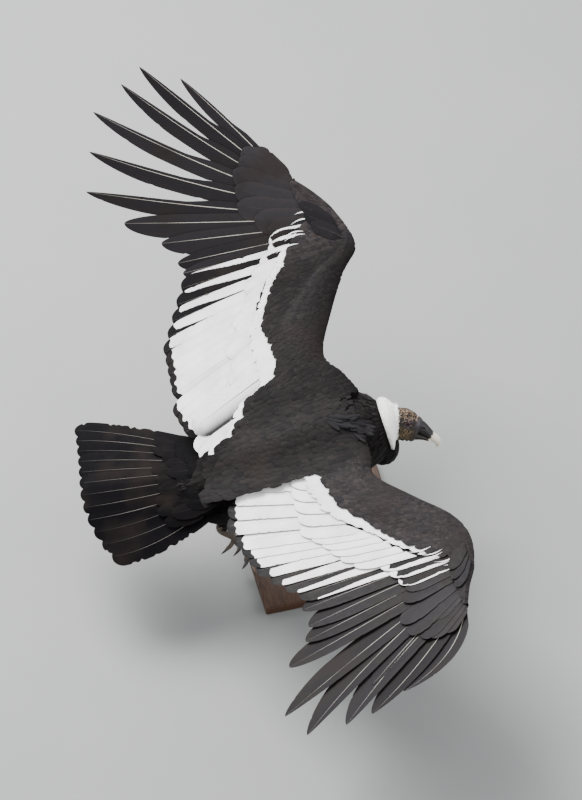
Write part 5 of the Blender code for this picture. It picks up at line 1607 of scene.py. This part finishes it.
def build_camera():
    """The photo's view: from above and behind the right side, rolled so that the tail hangs low."""
    roll, tip = math.radians(18.0), math.radians(25.0)
    right = Vector((math.cos(roll), -math.sin(roll) * math.cos(tip), -math.sin(roll) * math.sin(tip)))
    up = Vector((math.sin(roll), math.cos(roll) * math.cos(tip), math.cos(roll) * math.sin(tip)))
    towards = right.cross(up)
    middle = Vector((-0.0674, 0.1199, 0.0559))
    turn = FLIGHT.to_3x3() @ Matrix((right, up, towards)).transposed()
    distance, seen_height, sensor = 80.0, 2.40, 36.0
    data = bpy.data.cameras.new("camera")
    data.sensor_fit, data.sensor_height = "VERTICAL", sensor
    data.lens = sensor * distance / seen_height
    data.clip_end = 300.0
    camera = placed("camera", data)
    place = FLIGHT @ middle + (FLIGHT.to_3x3() @ towards) * distance
    camera.matrix_world = Matrix.Translation(place) @ turn.to_4x4()
    bpy.context.scene.camera = camera


def build_floor():
    n = Nodes("floor")
    n.drive("Base Color", n.blend(n.noise(3.0), *FLOOR_TONES))
    n.gloss(Roughness=0.9)
    mesh = bpy.data.meshes.new("floor")
    corners = [(x * FLOOR_HALF, y * FLOOR_HALF, 0.0) for x, y in ((-1, -1), (1, -1), (1, 1), (-1, 1))]
    mesh.from_pydata(corners, [], [(0, 1, 2, 3)])
    mesh.materials.append(n.material)
    floor = placed("floor", mesh)
    floor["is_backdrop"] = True


def build_light():
    """A pale sky and two soft lamps."""
    world = bpy.data.worlds.new("studio")
    world.use_nodes = True
    sky = world.node_tree.nodes["Background"]
    sky.inputs["Color"].default_value = SKY
    sky.inputs["Strength"].default_value = SKY_STRENGTH
    bpy.context.scene.world = world
    for name, (place, size, watts) in LAMPS.items():
        lamp = bpy.data.lights.new(name, "AREA")
        lamp.size, lamp.energy = size, watts
        obj = placed(name, lamp)
        obj.location = place
        obj.rotation_euler = (LAMPS_AIM - Vector(place)).to_track_quat("-Z", "Y").to_euler()


vane = feather_material("vane", 420.0, 0.5, 0.015, 0.3)
contour = feather_material("contour", 90.0, 0.6, 0.02, 0.25)
wings = {name: Wing(name, pose) for name, pose in WINGS.items()}
build_skin(wings, skin_material())
for wing in wings.values():
    build_flight(wing, vane)
    build_coverts(wing, contour)
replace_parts(build_tail(feather_material("tail_vane", 420.0, 0.6, 0.0, 0.3, 0.02)), "tail")
build_body_coat(wings, contour)
build_leg_feathers(contour)
bare_skin = tinted_material("bare_skin", 0.5, 0.4, 420.0, 0.5)
build_head(bare_skin, tinted_material("eye", 0.08, 0.35, 200.0, 0.0, 0.0, 0.2))
horn = tinted_material("horn", 0.38, 0.3, 150.0, 0.12, 0.25)
for name, profile in (("bill_upper", BILL), ("bill_lower", LOWER_BILL)):
    build_bill(name, profile, horn)
build_bristles(contour)
build_ruff(down_material())
foot_skin = tinted_material("foot_skin", 0.6, 0.35, 500.0, 0.5)
claw_horn = tinted_material("claw", 0.3, 0.5, 200.0, 0.1, 0.3, 0.2)
for name, joints in LEGS.items():
    build_foot(name, joints, foot_skin, claw_horn)
finish_stand()
build_camera()
build_floor()
build_light()

[[list(corner) for corner in box] for box in (cad_box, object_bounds())]
